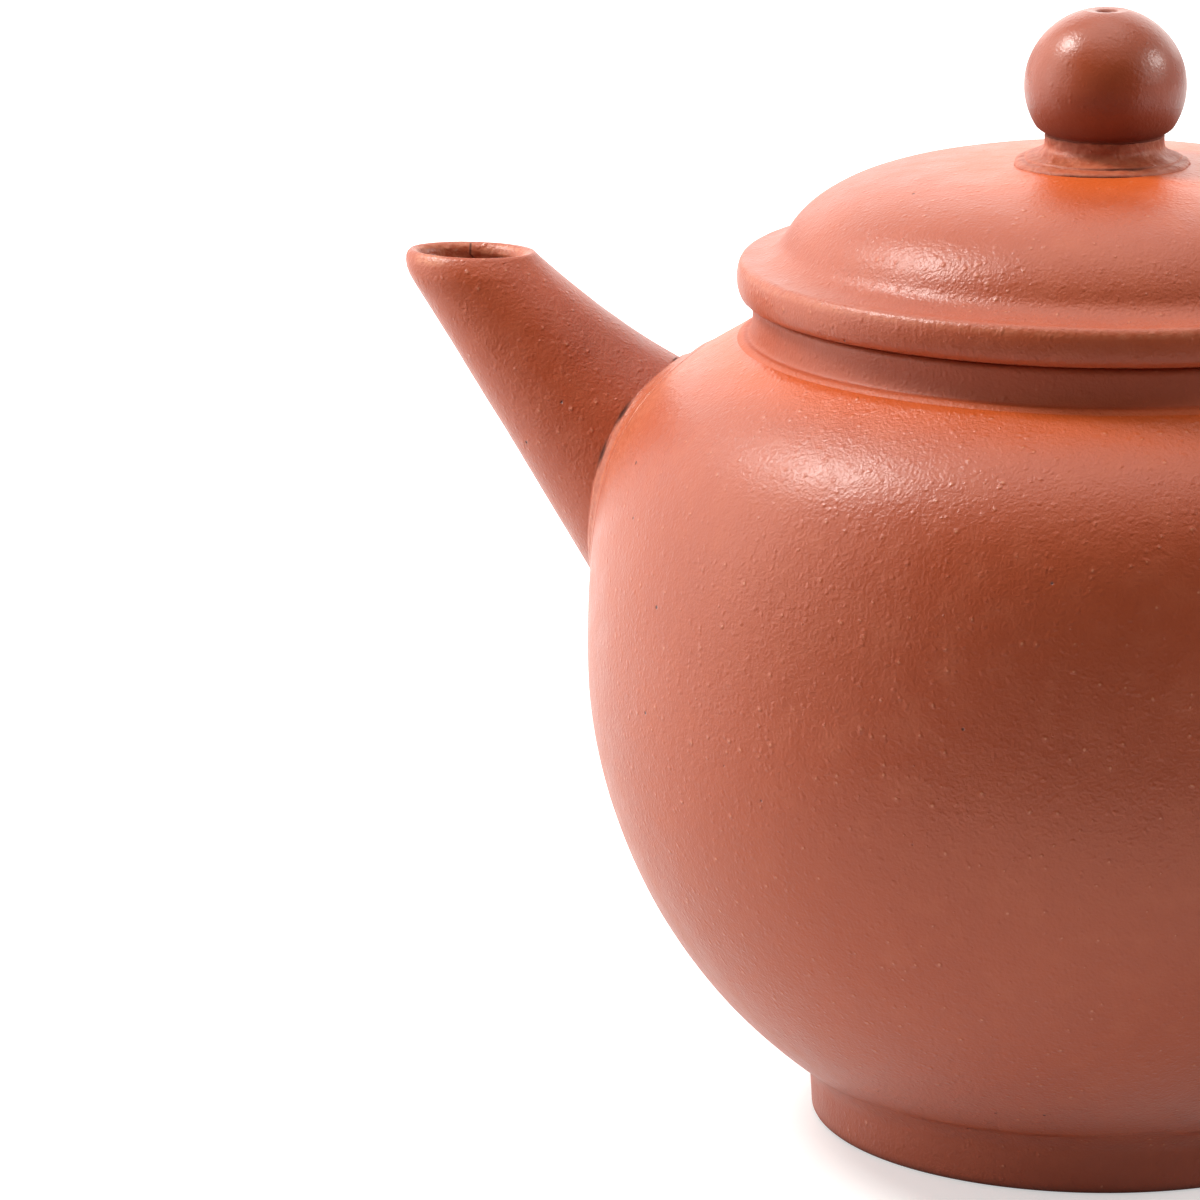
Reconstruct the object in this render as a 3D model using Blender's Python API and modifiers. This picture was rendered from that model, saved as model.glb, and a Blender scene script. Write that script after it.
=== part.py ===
"""Small unglazed clay teapot: a ball body on a ring foot, a spout, an ear handle and a lift-off lid.

Profiles are (radius, height) pairs. The spout points to -X and the handle to +X.
"""
import math

import bmesh
import bpy
from mathutils import Matrix, Vector

MM = 0.001
GAP = 0.3 * MM                  # slip joint between luted pieces

# The whole pot
AXIS_OFFSET = -5.8 * MM         # turning axis, measured from the middle of the pot's length
TURN_STEPS = 48                 # sides of the large turned pieces
SMALL_STEPS = 24                # sides of the small turned pieces
ROUND_STEPS = 3                 # chords of a rounded edge
COVE_STEPS = 4                  # chords of a small hollow
CURVE_STEPS = 8                 # chords of a long outline
DOME_STEPS = 6                  # chords of a dome or a lip
BALL_STEPS = 12                 # chords of the knob's ball
WELD = 0.01 * MM                # points nearer than this are one

# Body wall
BODY_RADIUS = 38.5 * MM
BELLY_HEIGHT = 36.75 * MM       # height of the widest circle
BELLY_ARC = 39.9 * MM           # arc radius of the wall below the widest circle
BELLY_PULL = 18.9 * MM          # how far the wall rises before the shoulder turns in
SHOULDER_RADIUS = 27.3 * MM     # where the shoulder ends at the collar
SHOULDER_HEIGHT = 60.3 * MM
SHOULDER_PULL = 7.1 * MM
SHOULDER_SLOPE = math.radians(32.8)
BODY_WALL = 2.6 * MM
MOUTH_RADIUS = 23.3 * MM
BASE_JOINT_RADIUS = 22.3 * MM   # where the wall stops above the foot

# Base disc and foot ring
BASE_THICKNESS = 3.2 * MM
BASE_CHAMFER = 0.9 * MM
FOOT_RADIUS = 21.2 * MM
FOOT_WIDTH = 3.6 * MM
FOOT_COVE_HEIGHT = 2.9 * MM
FOOT_LIP_DROP = 0.3 * MM        # foot lip below the end of the wall
FOOT_ROUND = 0.6 * MM

# Neck collar
COLLAR_RADIUS = 26.1 * MM
COLLAR_HEIGHT = 2.75 * MM
COLLAR_ROUND = 0.4 * MM
COLLAR_COVE = 0.85 * MM

# Spout, drawn by its two outlines as (reach, height) from root to mouth
SPOUT_UNDER = [(38.45 * MM, 38.7 * MM), (46.6 * MM, 51.5 * MM), (55.3 * MM, 63.9 * MM)]
SPOUT_OVER = [(32.9 * MM, 56.7 * MM), (38.2 * MM, 59.3 * MM), (43.9 * MM, 63.9 * MM)]
SPOUT_ROOT_WIDTH = 8.1 * MM     # half widths
SPOUT_MOUTH_WIDTH = 4.2 * MM
SPOUT_ROOT_WALL = 2.2 * MM
SPOUT_MOUTH_WALL = 1.5 * MM
SPOUT_RIM_RISE = 0.6 * MM
SPOUT_FLARE = 1.1 * MM          # spread of the luted root
SPOUT_FLARE_SPAN = 0.16         # share of the spout's length that spreads
SPOUT_RUN_IN = -0.2             # start of the uncut cone inside the body
SPOUT_RINGS = 9
SPOUT_SIDES = 24
RIM_RINGS = 4

# Port in the wall behind the spout, and the strainer in it
PORT_SHARE = 0.75               # place on the shoulder curve, from the collar (0) to the belly (1)
PORT_TILT = math.radians(16)
PORT_RADIUS = 6.3 * MM
PORT_CUT = 10.4 * MM            # length of the cut through the wall
STRAINER_WALL = 1.2 * MM
STRAINER_SKIRT = 2.9 * MM
STRAINER_RECESS = 1.1 * MM      # skirt below the outside of the wall
STRAINER_HOLE_RADIUS = 0.8 * MM
STRAINER_HOLE_SIDES = 8
STRAINER_HOLE_CUT = 3.6 * MM
STRAINER_HOLE_ROWS = [(0, 1), (30, 6), (60, 10)]   # degrees from the dome's top, holes in the row

# Ear handle from top root to low root: place, pull along the curve, half thickness
HANDLE_KNOTS = [
    (Vector((32.0, 0, 52.5)) * MM, Vector((6.1, 0, 5.8)) * MM, 3.6 * MM),
    (Vector((49.5, 0, 60.2)) * MM, Vector((7.9, 0, 0.0)) * MM, 3.6 * MM),
    (Vector((63.6, 0, 45.5)) * MM, Vector((0.0, 0, -8.1)) * MM, 3.25 * MM),
    (Vector((32.5, 0, 19.0)) * MM, Vector((-14.0, 0, -3.2)) * MM, 2.5 * MM),
]
HANDLE_STEPS = 9                # chords between two knots
HANDLE_ROUNDNESS = 4            # bevel resolution

# Lid, drawn upwards from its seat on the collar
SEAT_HEIGHT = 63.5 * MM
LID_DOME_RISE = 10.43 * MM
LID_DOME_FLAT = 10.4 * MM
LID_SHOULDER_RADIUS = 20.5 * MM
LID_SHOULDER_RISE = 10.2 * MM
LID_COVE_RADIUS = 23.7 * MM
LID_COVE_RISE = 4.5 * MM
LID_WALL = 2.8 * MM
LIP_RADIUS = 26.75 * MM         # centre of the rolled lip
LIP_RISE = 1.6 * MM
LIP_HALF_WIDTH = 0.56 * MM
LIP_HALF_HEIGHT = 1.36 * MM
LIP_TOP_ANGLE = 100             # the roll runs from here
LIP_LOW_ANGLE = -80             # to here, in degrees
FLANGE_RADIUS = 22.7 * MM
FLANGE_WIDTH = 2.5 * MM
FLANGE_DEPTH = 6.2 * MM
FLANGE_ROUND = 0.6 * MM
VENT_RADIUS = 0.8 * MM

# Knob and its pad
PAD_RADIUS = 6.3 * MM
PAD_TOP_RADIUS = 4.3 * MM
PAD_HEIGHT = 1.1 * MM
PAD_EDGE = 0.3 * MM
KNOB_RADIUS = 6.05 * MM
KNOB_HALF_HEIGHT = 5.8 * MM
KNOB_CENTRE = 16.07 * MM
KNOB_TOP_ANGLE = 72             # the ball runs from here
KNOB_NECK_ANGLE = -43           # to here, in degrees

# Clay colours
CLAY = (0.50, 0.135, 0.068)
CLAY_SHADE = (0.44, 0.115, 0.058)
CLAY_ROUGHNESS = 0.46


def clear_scene():
    for obj in list(bpy.data.objects):
        bpy.data.objects.remove(obj, do_unlink=True)


def new_collection(name):
    collection = bpy.data.collections.new(name)
    bpy.context.scene.collection.children.link(collection)
    return collection


def new_empty(name, collection, location, parent=None):
    empty = bpy.data.objects.new(name, None)
    empty.location = location
    empty.parent = parent
    collection.objects.link(empty)
    return empty


def clay_material(name, colour):
    material = bpy.data.materials.new(name)
    material.use_nodes = True
    shader = material.node_tree.nodes["Principled BSDF"]
    shader.inputs["Base Color"].default_value = (*colour, 1.0)
    shader.inputs["Roughness"].default_value = CLAY_ROUGHNESS
    shader.inputs["Metallic"].default_value = 0.0
    return material


def add_piece(name, mesh, parent, colour=CLAY):
    piece = bpy.data.objects.new(name, mesh)
    piece.parent = parent
    mesh.materials.append(clay_material(name + "_clay", colour))
    parts.objects.link(piece)
    return piece


def add_cutter(name, mesh, parent):
    cutter = bpy.data.objects.new(name, mesh)
    cutter.parent = parent
    cutter.hide_render = True
    cutter.display_type = "WIRE"
    cutters.objects.link(cutter)
    return cutter


def cut(piece, cutter):
    boolean = piece.modifiers.new("cut_" + cutter.name, "BOOLEAN")
    boolean.operation = "DIFFERENCE"
    boolean.object = cutter


def arc(centre, radii, start, end, count):
    """Points on an ellipse arc, from start to end in degrees."""
    points = []
    for step in range(count + 1):
        angle = math.radians(start + (end - start) * step / count)
        points.append((centre[0] + radii[0] * math.cos(angle), centre[1] + radii[1] * math.sin(angle)))
    return points


def on_curve(controls, t):
    """Point at t on the Bezier curve with these control points."""
    points = [Vector(control) for control in controls]
    while len(points) > 1:
        points = [a.lerp(b, t) for a, b in zip(points, points[1:])]
    return points[0]


def corner(radius, height, size, start, end):
    """Rounded edge whose centre is at this radius and height."""
    return arc((radius, height), (size, size), start, end, ROUND_STEPS)


def curve_points(controls, count):
    return [tuple(on_curve(controls, step / count)) for step in range(count + 1)]


def turned_mesh(name, profile, closed):
    mesh = bpy.data.meshes.new(name)
    last = len(profile) - 1
    edges = [(i, i + 1) for i in range(last)]
    if closed:
        edges.append((last, 0))
    mesh.from_pydata([(radius, 0, height) for radius, height in profile], edges, [])
    return mesh


def add_turning(obj, steps):
    screw = obj.modifiers.new("turn", "SCREW")
    screw.steps = steps
    screw.render_steps = steps
    screw.use_merge_vertices = True
    screw.merge_threshold = WELD
    screw.use_smooth_shade = True


def turned_piece(name, profile, parent, closed=True, steps=TURN_STEPS, colour=CLAY):
    piece = add_piece(name, turned_mesh(name, profile, closed), parent, colour)
    add_turning(piece, steps)
    return piece


def shoulder_controls():
    """Shoulder curve from the collar down to the widest circle."""
    turn_in = Vector((math.cos(SHOULDER_SLOPE), -math.sin(SHOULDER_SLOPE))) * SHOULDER_PULL
    top = Vector((SHOULDER_RADIUS, SHOULDER_HEIGHT))
    belly = Vector((BODY_RADIUS, BELLY_HEIGHT))
    return [top, top + turn_in, belly + Vector((0, BELLY_PULL)), belly]


def base_joint_angle():
    """Angle below the belly, in degrees, at which the wall stops."""
    return -math.degrees(math.acos((BASE_JOINT_RADIUS - BODY_RADIUS + BELLY_ARC) / BELLY_ARC))


def body_outline(offset):
    """Outside of the body from shoulder to base joint, moved outwards by offset."""
    controls = shoulder_controls()
    points = []
    for step in range(CURVE_STEPS):
        t = step / CURVE_STEPS
        tangent = on_curve([b - a for a, b in zip(controls, controls[1:])], t).normalized()
        outward = Vector((-tangent.y, tangent.x))
        points.append(tuple(on_curve(controls, t) + outward * offset))
    centre = (BODY_RADIUS - BELLY_ARC, BELLY_HEIGHT)
    radius = BELLY_ARC + offset
    return points + arc(centre, (radius, radius), 0, base_joint_angle(), CURVE_STEPS)


def make_body(pot, port):
    outside = body_outline(0)
    inside = body_outline(-BODY_WALL)[::-1]
    mouth = [(MOUTH_RADIUS, inside[-1][1]), (MOUTH_RADIUS, SHOULDER_HEIGHT)]
    body = turned_piece("body", outside + inside + mouth, pot)
    cut(body, port)


def make_base_disc(pot):
    """Disc with a coned edge that closes the bottom of the wall."""
    angle = math.radians(base_joint_angle())
    slip = Vector((math.sin(angle), -math.cos(angle))) * GAP
    low = Vector(body_outline(0)[-1]) + slip
    high = Vector(body_outline(-BODY_WALL)[-1]) + slip
    under = high.y - BASE_THICKNESS
    profile = [(0, high.y), tuple(high), tuple(low), (low.x - BASE_CHAMFER, under), (0, under)]
    turned_piece("base_disc", profile, pot, closed=False)
    return under


def make_foot_ring(pot, base_under):
    """Ring foot with a coved lip outside and a rebate for the base disc."""
    joint_radius, joint_height = body_outline(0)[-1]
    lip = (joint_radius + FOOT_LIP_DROP / 2, joint_height - FOOT_LIP_DROP)
    wall_top = (FOOT_RADIUS + FOOT_LIP_DROP / 2, FOOT_COVE_HEIGHT)
    cove = curve_points([lip, (wall_top[0], FOOT_COVE_HEIGHT + FOOT_ROUND), wall_top], COVE_STEPS)
    rounding = corner(FOOT_RADIUS - FOOT_ROUND, FOOT_ROUND, FOOT_ROUND, 0, -90)
    inner_radius = FOOT_RADIUS - FOOT_WIDTH
    shelf = base_under - GAP
    inside = [(inner_radius + FOOT_ROUND, 0), (inner_radius, FOOT_ROUND), (inner_radius, shelf)]
    rebate = [(joint_radius - BASE_CHAMFER, shelf), (joint_radius - GAP / 2, lip[1] - GAP / 2)]
    turned_piece("foot_ring", cove + rounding + inside + rebate, pot)


def make_neck_collar(pot):
    base = SHOULDER_HEIGHT + GAP
    top = base + COLLAR_HEIGHT
    rounding = corner(COLLAR_RADIUS - COLLAR_ROUND, top - COLLAR_ROUND, COLLAR_ROUND, 90, 0)
    spread = COLLAR_RADIUS + COLLAR_COVE
    cove_middle = (spread, base + COLLAR_ROUND + COLLAR_COVE)
    cove = arc(cove_middle, (COLLAR_COVE, COLLAR_COVE), 180, 270, COVE_STEPS)
    inside = [(spread, base), (MOUTH_RADIUS, base), (MOUTH_RADIUS, top - COLLAR_ROUND)]
    turned_piece("neck_collar", rounding + cove + inside + [(MOUTH_RADIUS + COLLAR_ROUND, top)], pot)


def body_room(pot):
    """Solid a slip joint larger than the body, which saddles the spout and the handle."""
    outside = body_outline(GAP)
    profile = [(0, outside[0][1])] + outside + [(0, outside[-1][1])]
    room = add_cutter("body_room", turned_mesh("body_room", profile, closed=False), pot)
    add_turning(room, TURN_STEPS)
    return room


def port_frame():
    """Frame on the outside of the wall at the port, with +Z into the pot."""
    reach, height = on_curve(shoulder_controls(), PORT_SHARE)
    return Matrix.Translation((-reach, 0, height)) @ Matrix.Rotation(math.pi / 2 + PORT_TILT, 4, "Y")


def make_port(pot):
    mesh = bpy.data.meshes.new("spout_port")
    build = bmesh.new()
    bmesh.ops.create_cone(build, cap_ends=True, segments=SMALL_STEPS, radius1=PORT_RADIUS,
                          radius2=PORT_RADIUS, depth=PORT_CUT)
    build.to_mesh(mesh)
    build.free()
    port = add_cutter("spout_port", mesh, pot)
    port.matrix_local = port_frame()
    return port


def spout_flare(t):
    """Spread of the luted root, which fades along the spout."""
    return SPOUT_FLARE * max(0.0, 1.0 - max(t, 0.0) / SPOUT_FLARE_SPAN) ** 2


def spout_wall(t):
    return SPOUT_ROOT_WALL + (SPOUT_MOUTH_WALL - SPOUT_ROOT_WALL) * max(t, 0.0)


def spout_ring(t, spread, lift=0.0):
    """Oval ring across the spout at t, from root (0) to mouth (1), moved outwards by spread."""
    under = on_curve(SPOUT_UNDER, t)
    over = on_curve(SPOUT_OVER, t)
    half = (over - under) / 2
    half *= 1.0 + spread / half.length
    middle = (over + under) / 2
    width = SPOUT_ROOT_WIDTH + (SPOUT_MOUTH_WIDTH - SPOUT_ROOT_WIDTH) * t + spread
    ring = []
    for side in range(SPOUT_SIDES):
        angle = 2 * math.pi * side / SPOUT_SIDES
        reach = middle.x + half.x * math.cos(angle)
        height = middle.y + half.y * math.cos(angle) + lift
        ring.append((-reach, width * math.sin(angle), height))
    return ring


def spout_rings():
    """Rings up the outside, over the rounded rim and down the bore."""
    stations = [SPOUT_RUN_IN + (1 - SPOUT_RUN_IN) * step / SPOUT_RINGS for step in range(SPOUT_RINGS + 1)]
    rings = [spout_ring(t, spout_flare(t)) for t in stations]
    for step in range(1, RIM_RINGS):
        angle = math.pi * step / RIM_RINGS
        inset = SPOUT_MOUTH_WALL * (1 - math.cos(angle)) / 2
        rings.append(spout_ring(1, -inset, SPOUT_RIM_RISE * math.sin(angle)))
    return rings + [spout_ring(t, -spout_wall(t)) for t in stations[::-1]]


def make_spout(pot, room):
    """Tapered spout lofted between unlike ovals, saddled on the body and level at the mouth."""
    mesh = bpy.data.meshes.new("spout")
    build = bmesh.new()
    rings = [[build.verts.new(point) for point in ring] for ring in spout_rings()]
    for ring, following in zip(rings, rings[1:] + rings[:1]):
        for side in range(SPOUT_SIDES):
            after = (side + 1) % SPOUT_SIDES
            build.faces.new((ring[side], ring[after], following[after], following[side]))
    bmesh.ops.recalc_face_normals(build, faces=build.faces)
    build.to_mesh(mesh)
    build.free()
    mesh.shade_smooth()
    spout = add_piece("spout", mesh, pot)
    cut(spout, room)


def strainer_holes(pot):
    """Rows of small round holes through the strainer's dome."""
    mesh = bpy.data.meshes.new("strainer_holes")
    build = bmesh.new()
    dome = PORT_RADIUS - GAP
    for tilt, count in STRAINER_HOLE_ROWS:
        for number in range(count):
            turn = Matrix.Rotation(2 * math.pi * number / count, 4, "Z")
            lean = Matrix.Rotation(math.radians(tilt), 4, "Y")
            along = Matrix.Translation((0, 0, STRAINER_SKIRT))
            outwards = Matrix.Translation((0, 0, dome - STRAINER_WALL / 2))
            bmesh.ops.create_cone(build, cap_ends=True, segments=STRAINER_HOLE_SIDES,
                                  radius1=STRAINER_HOLE_RADIUS, radius2=STRAINER_HOLE_RADIUS,
                                  depth=STRAINER_HOLE_CUT, matrix=along @ turn @ lean @ outwards)
    build.to_mesh(mesh)
    build.free()
    holes = add_cutter("strainer_holes", mesh, pot)
    holes.matrix_local = port_frame()
    return holes


def make_strainer(pot):
    """Pierced dome that stands in the port and bulges into the pot."""
    dome = PORT_RADIUS - GAP
    hollow = dome - STRAINER_WALL
    outside = arc((0, STRAINER_SKIRT), (dome, dome), 90, 0, DOME_STEPS)
    inside = arc((0, STRAINER_SKIRT), (hollow, hollow), 0, 90, DOME_STEPS)
    profile = outside + [(dome, STRAINER_RECESS), (hollow, STRAINER_RECESS)] + inside
    strainer = turned_piece("strainer", profile, pot, closed=False, steps=SMALL_STEPS, colour=CLAY_SHADE)
    strainer.matrix_local = port_frame()
    cut(strainer, strainer_holes(pot))


def handle_curve():
    """Ear-shaped path from the shoulder over the back to the lower belly."""
    path = bpy.data.curves.new("handle_path", "CURVE")
    path.dimensions = "3D"
    path.bevel_depth = max(thickness for place, pull, thickness in HANDLE_KNOTS)
    path.bevel_resolution = HANDLE_ROUNDNESS
    path.resolution_u = HANDLE_STEPS
    path.use_fill_caps = True
    spline = path.splines.new("BEZIER")
    spline.bezier_points.add(len(HANDLE_KNOTS) - 1)
    for point, (place, pull, thickness) in zip(spline.bezier_points, HANDLE_KNOTS):
        point.co = place
        point.handle_left = place - pull
        point.handle_right = place + pull
        point.radius = thickness / path.bevel_depth
    return bpy.data.objects.new("handle_path", path)


def make_handle(pot, room):
    """Tapered round loop, its two ends saddled on the body."""
    path = handle_curve()
    parts.objects.link(path)
    bpy.context.view_layer.update()
    mesh = bpy.data.meshes.new_from_object(path.evaluated_get(bpy.context.evaluated_depsgraph_get()))
    bpy.data.objects.remove(path, do_unlink=True)
    build = bmesh.new()
    build.from_mesh(mesh)
    bmesh.ops.remove_doubles(build, verts=build.verts, dist=WELD)
    build.to_mesh(mesh)
    build.free()
    mesh.shade_smooth()
    handle = add_piece("handle", mesh, pot)
    cut(handle, room)


def make_lid_cover(lid):
    """Domed plate with a coved edge, a rolled lip, a hollow underside and a vent."""
    seat = GAP / 2
    crown = [(VENT_RADIUS, LID_DOME_RISE), (LID_DOME_FLAT, LID_DOME_RISE)]
    shoulder = [(LID_SHOULDER_RADIUS, LID_SHOULDER_RISE), (LID_COVE_RADIUS, LID_COVE_RISE)]
    dome = curve_points(crown + shoulder, CURVE_STEPS)
    lip_size = (LIP_HALF_WIDTH, LIP_HALF_HEIGHT)
    lip = arc((LIP_RADIUS, LIP_RISE), lip_size, LIP_TOP_ANGLE, LIP_LOW_ANGLE, DOME_STEPS)
    bend = (LID_COVE_RADIUS + LIP_HALF_WIDTH, lip[0][1])
    cove = curve_points([dome[-1], bend, lip[0]], COVE_STEPS)[1:-1]
    hollow = FLANGE_RADIUS - FLANGE_WIDTH
    ceiling = LID_DOME_RISE - LID_WALL
    inside = curve_points([(hollow, seat + LIP_HALF_HEIGHT), (hollow - LIP_HALF_HEIGHT, ceiling),
                           (LID_DOME_FLAT, ceiling), (VENT_RADIUS, ceiling)], DOME_STEPS)
    seat_ring = [(LIP_RADIUS - LIP_HALF_WIDTH, seat), (hollow, seat)]
    turned_piece("lid_cover", dome + cove + lip + seat_ring + inside, lid)


def make_lid_flange(lid):
    """Ring under the lid that drops into the mouth."""
    top = -GAP / 2
    low = -FLANGE_DEPTH
    inner = FLANGE_RADIUS - FLANGE_WIDTH
    outside = [(FLANGE_RADIUS, top)]
    outside += corner(FLANGE_RADIUS - FLANGE_ROUND, low + FLANGE_ROUND, FLANGE_ROUND, 0, -90)
    inside = [(inner + FLANGE_ROUND, low), (inner, low + FLANGE_ROUND), (inner, top)]
    turned_piece("lid_flange", outside + inside, lid, colour=CLAY_SHADE)


def make_knob_pad(lid):
    """Flared pad between the lid and the knob."""
    base = LID_DOME_RISE + GAP
    top = base + PAD_HEIGHT
    edge = base + PAD_EDGE
    cove = curve_points([(PAD_TOP_RADIUS, top), (PAD_TOP_RADIUS, edge), (PAD_RADIUS, edge)], COVE_STEPS)
    profile = cove + [(PAD_RADIUS, base), (VENT_RADIUS, base), (VENT_RADIUS, top)]
    turned_piece("knob_pad", profile, lid, steps=SMALL_STEPS)


def make_knob(lid):
    """Ball knob with a flat round the vent."""
    size = (KNOB_RADIUS, KNOB_HALF_HEIGHT)
    ball = arc((0, KNOB_CENTRE), size, KNOB_TOP_ANGLE, KNOB_NECK_ANGLE, BALL_STEPS)
    top = ball[0][1]
    base = ball[-1][1]
    profile = ball + [(VENT_RADIUS, base), (VENT_RADIUS, top)]
    turned_piece("knob", profile, lid, steps=SMALL_STEPS)


clear_scene()
parts = new_collection("clay_teapot")
cutters = new_collection("cutters")
pot = new_empty("pot_axis", parts, (AXIS_OFFSET, 0, 0))
lid = new_empty("lid_axis", parts, (0, 0, SEAT_HEIGHT), pot)
room = body_room(pot)
make_body(pot, make_port(pot))
base_under = make_base_disc(pot)
make_foot_ring(pot, base_under)
make_neck_collar(pot)
make_spout(pot, room)
make_strainer(pot)
make_handle(pot, room)
make_lid_cover(lid)
make_lid_flange(lid)
make_knob_pad(lid)
make_knob(lid)
bpy.context.view_layer.update()
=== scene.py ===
"""Looks of a small unglazed clay teapot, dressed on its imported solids.

Profiles are (radius, height) pairs round the turning axis. The spout points to -X and the handle to +X.
"""

import math

import bmesh
import bpy
import numpy as np
from mathutils import Euler, Matrix, Vector, noise


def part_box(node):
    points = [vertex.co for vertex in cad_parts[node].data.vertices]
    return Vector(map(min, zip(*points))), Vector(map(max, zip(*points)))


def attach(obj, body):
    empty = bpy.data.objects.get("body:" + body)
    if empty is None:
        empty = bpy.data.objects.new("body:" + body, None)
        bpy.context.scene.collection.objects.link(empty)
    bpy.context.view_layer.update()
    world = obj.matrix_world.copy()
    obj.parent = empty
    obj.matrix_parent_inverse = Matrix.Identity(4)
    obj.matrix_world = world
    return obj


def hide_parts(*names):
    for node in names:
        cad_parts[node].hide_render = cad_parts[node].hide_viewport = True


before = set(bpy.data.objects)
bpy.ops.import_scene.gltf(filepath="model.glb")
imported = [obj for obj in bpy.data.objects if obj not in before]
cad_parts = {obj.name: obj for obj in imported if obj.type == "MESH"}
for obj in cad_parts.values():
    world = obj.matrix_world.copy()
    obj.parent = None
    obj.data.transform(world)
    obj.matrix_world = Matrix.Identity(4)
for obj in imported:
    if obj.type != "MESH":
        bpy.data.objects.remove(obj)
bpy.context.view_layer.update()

MM = 0.001

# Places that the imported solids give
lid_low, lid_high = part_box("lid_cover")
body_low, body_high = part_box("body")
AXIS = Vector(((lid_low.x + lid_high.x) / 2, 0, 0))
BODY_RADIUS = (body_high.x - body_low.x) / 2
SHOULDER_HEIGHT = body_high.z
JOINT_HEIGHT = body_low.z
COLLAR_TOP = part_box("neck_collar")[1].z
FLANGE_LOW, FLANGE_HIGH = (corner.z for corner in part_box("lid_flange"))
BASE_LOW, BASE_HIGH = (corner.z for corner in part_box("base_disc"))
GAP = 0.3 * MM
SEAT = FLANGE_HIGH + GAP / 2

# Body
BELLY_HEIGHT = 36.75 * MM
BELLY_ARC = 39.9 * MM
BELLY_PULL = 18.9 * MM
SHOULDER_RADIUS = 27.3 * MM
SHOULDER_PULL = 7.1 * MM
SHOULDER_SLOPE = math.radians(32.8)
BODY_WALL = 2.6 * MM
MOUTH_RADIUS = 23.3 * MM
# Painted orange bounce light on the shoulder round the collar's foot, standing in for light bounced between
# clay surfaces
SHOULDER_BOUNCE_WIDTH = 3.2 * MM
SHOULDER_BOUNCE_SHARE = 0.7

# Collar, foot and base
COLLAR_RADIUS = 26.1 * MM
COLLAR_ROUND = 0.45 * MM
COLLAR_COVE = 1.8 * MM
COLLAR_RIDGE = (0.45 * MM, 0.34 * MM)
COLLAR_FALL = 0.4 * MM
COLLAR_SINK = 0.06 * MM
# Painted shade on the collar wall, which sits under the lid's lip
COLLAR_SHADE = 0.2
FOOT_RADIUS = 21.2 * MM
FOOT_FILLET = 1.1 * MM
FOOT_TUCK = 0.04 * MM
# Painted shade over the whole foot ring
FOOT_SHADE = 0.3
FOOT_WIDTH = 3.6 * MM
FOOT_COVE_HEIGHT = 2.9 * MM
FOOT_FLARE = 0.15 * MM
FOOT_ROUND = 0.6 * MM
# Width of a painted contact shadow along the foot's standing edge
FOOT_CONTACT_SHADOW_WIDTH = 0.5 * MM
BASE_RADIUS = 21.8 * MM
BASE_CHAMFER = 2.0 * MM
BASE_MIDDLE = 0.5 * MM

# Spout outlines as (reach, height) from root to mouth, with half widths across
SPOUT_UNDER = [(38.45 * MM, 38.7 * MM), (46.6 * MM, 51.5 * MM), (55.3 * MM, 63.9 * MM)]
SPOUT_OVER = [(32.9 * MM, 56.7 * MM), (38.2 * MM, 59.3 * MM), (43.9 * MM, 63.9 * MM)]
SPOUT_ROOT_WIDTH = 8.1 * MM
SPOUT_MOUTH_WIDTH = 4.2 * MM
SPOUT_ROOT_WALL = 2.2 * MM
MOUTH_SIDE_WALL = 1.45 * MM
MOUTH_END_WALL = 1.8 * MM
SPOUT_LEAN = math.radians(34)
SPOUT_INSIDE, SPOUT_OUTSIDE = -0.4, 0.6
SPOUT_SIDES = 192
SPOUT_LENGTH_RINGS = 90
RIM_START = 0.93
RIM_RISE = 0.6 * MM
RIM_ROUND_TIP = 1.0 * MM
RIM_ROUND_BACK = 0.6 * MM
RIM_DROP = 0.9 * MM
RIM_RINGS = 12
BORE_RINGS = 40

# Port behind the spout and its strainer, in the port's own frame
PORT_SHARE = 0.75
PORT_TILT = math.radians(16)
PORT_RADIUS = 6.3 * MM
PORT_CUT = 10.4 * MM
PORT_SIDES = 64
STRAINER_WALL = 1.2 * MM
STRAINER_SKIRT = 2.9 * MM
STRAINER_RECESS = 1.1 * MM
STRAINER_HOLE_RADIUS = 0.8 * MM
STRAINER_HOLE_CUT = 3.6 * MM
STRAINER_HOLE_ROWS = [(0, 1), (30, 6), (60, 10)]
STRAINER_HOLE_SIDES = 20
STRAINER_TOP_ANGLE = 88
STRAINER_STEPS = 40
STRAINER_SIDES = 96

# Slip bead round a luted root
ROOT_HALVINGS = 30
BEAD_REACH = 3.0 * MM
BEAD_RINGS = 20
BEAD_HEIGHT = 0.6 * MM
BEAD_WIDTH = 0.75 * MM
BEAD_LEAST = 0.35
BEAD_LIP = 0.06 * MM
BEAD_LIP_PLACE = 0.32 * MM
BEAD_LIP_WIDTH = 0.24 * MM
BEAD_SMEAR = 0.07 * MM
BEAD_SMEAR_PLACE = 2.1 * MM
BEAD_SMEAR_WIDTH = 0.55 * MM
BEAD_SINK = 0.12 * MM
BEAD_SKIN = 0.02 * MM
BEAD_SWELL = 0.8
BEAD_SWELL_LENGTH = 3.5 * MM
# Pale crest of the bead: rubbed clay together with a painted highlight
BEAD_CREST_WEAR_AND_HIGHLIGHT = 0.3
# Painted sheen: a pale band round the spout's root on its upper side
ROOT_SHEEN_CENTRE = Vector((-35.7, 0, 47.7)) * MM
ROOT_SHEEN_RADIUS = 12.5 * MM
ROOT_SHEEN_WIDTH = 3.4 * MM
ROOT_SHEEN_SHARE = 0.4
# Groove beside the bead, which carries painted sheen
GROOVE_PLACE = 1.5 * MM
GROOVE_WIDTH = 0.9 * MM
GROOVE_SHEEN = 0.45

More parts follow.
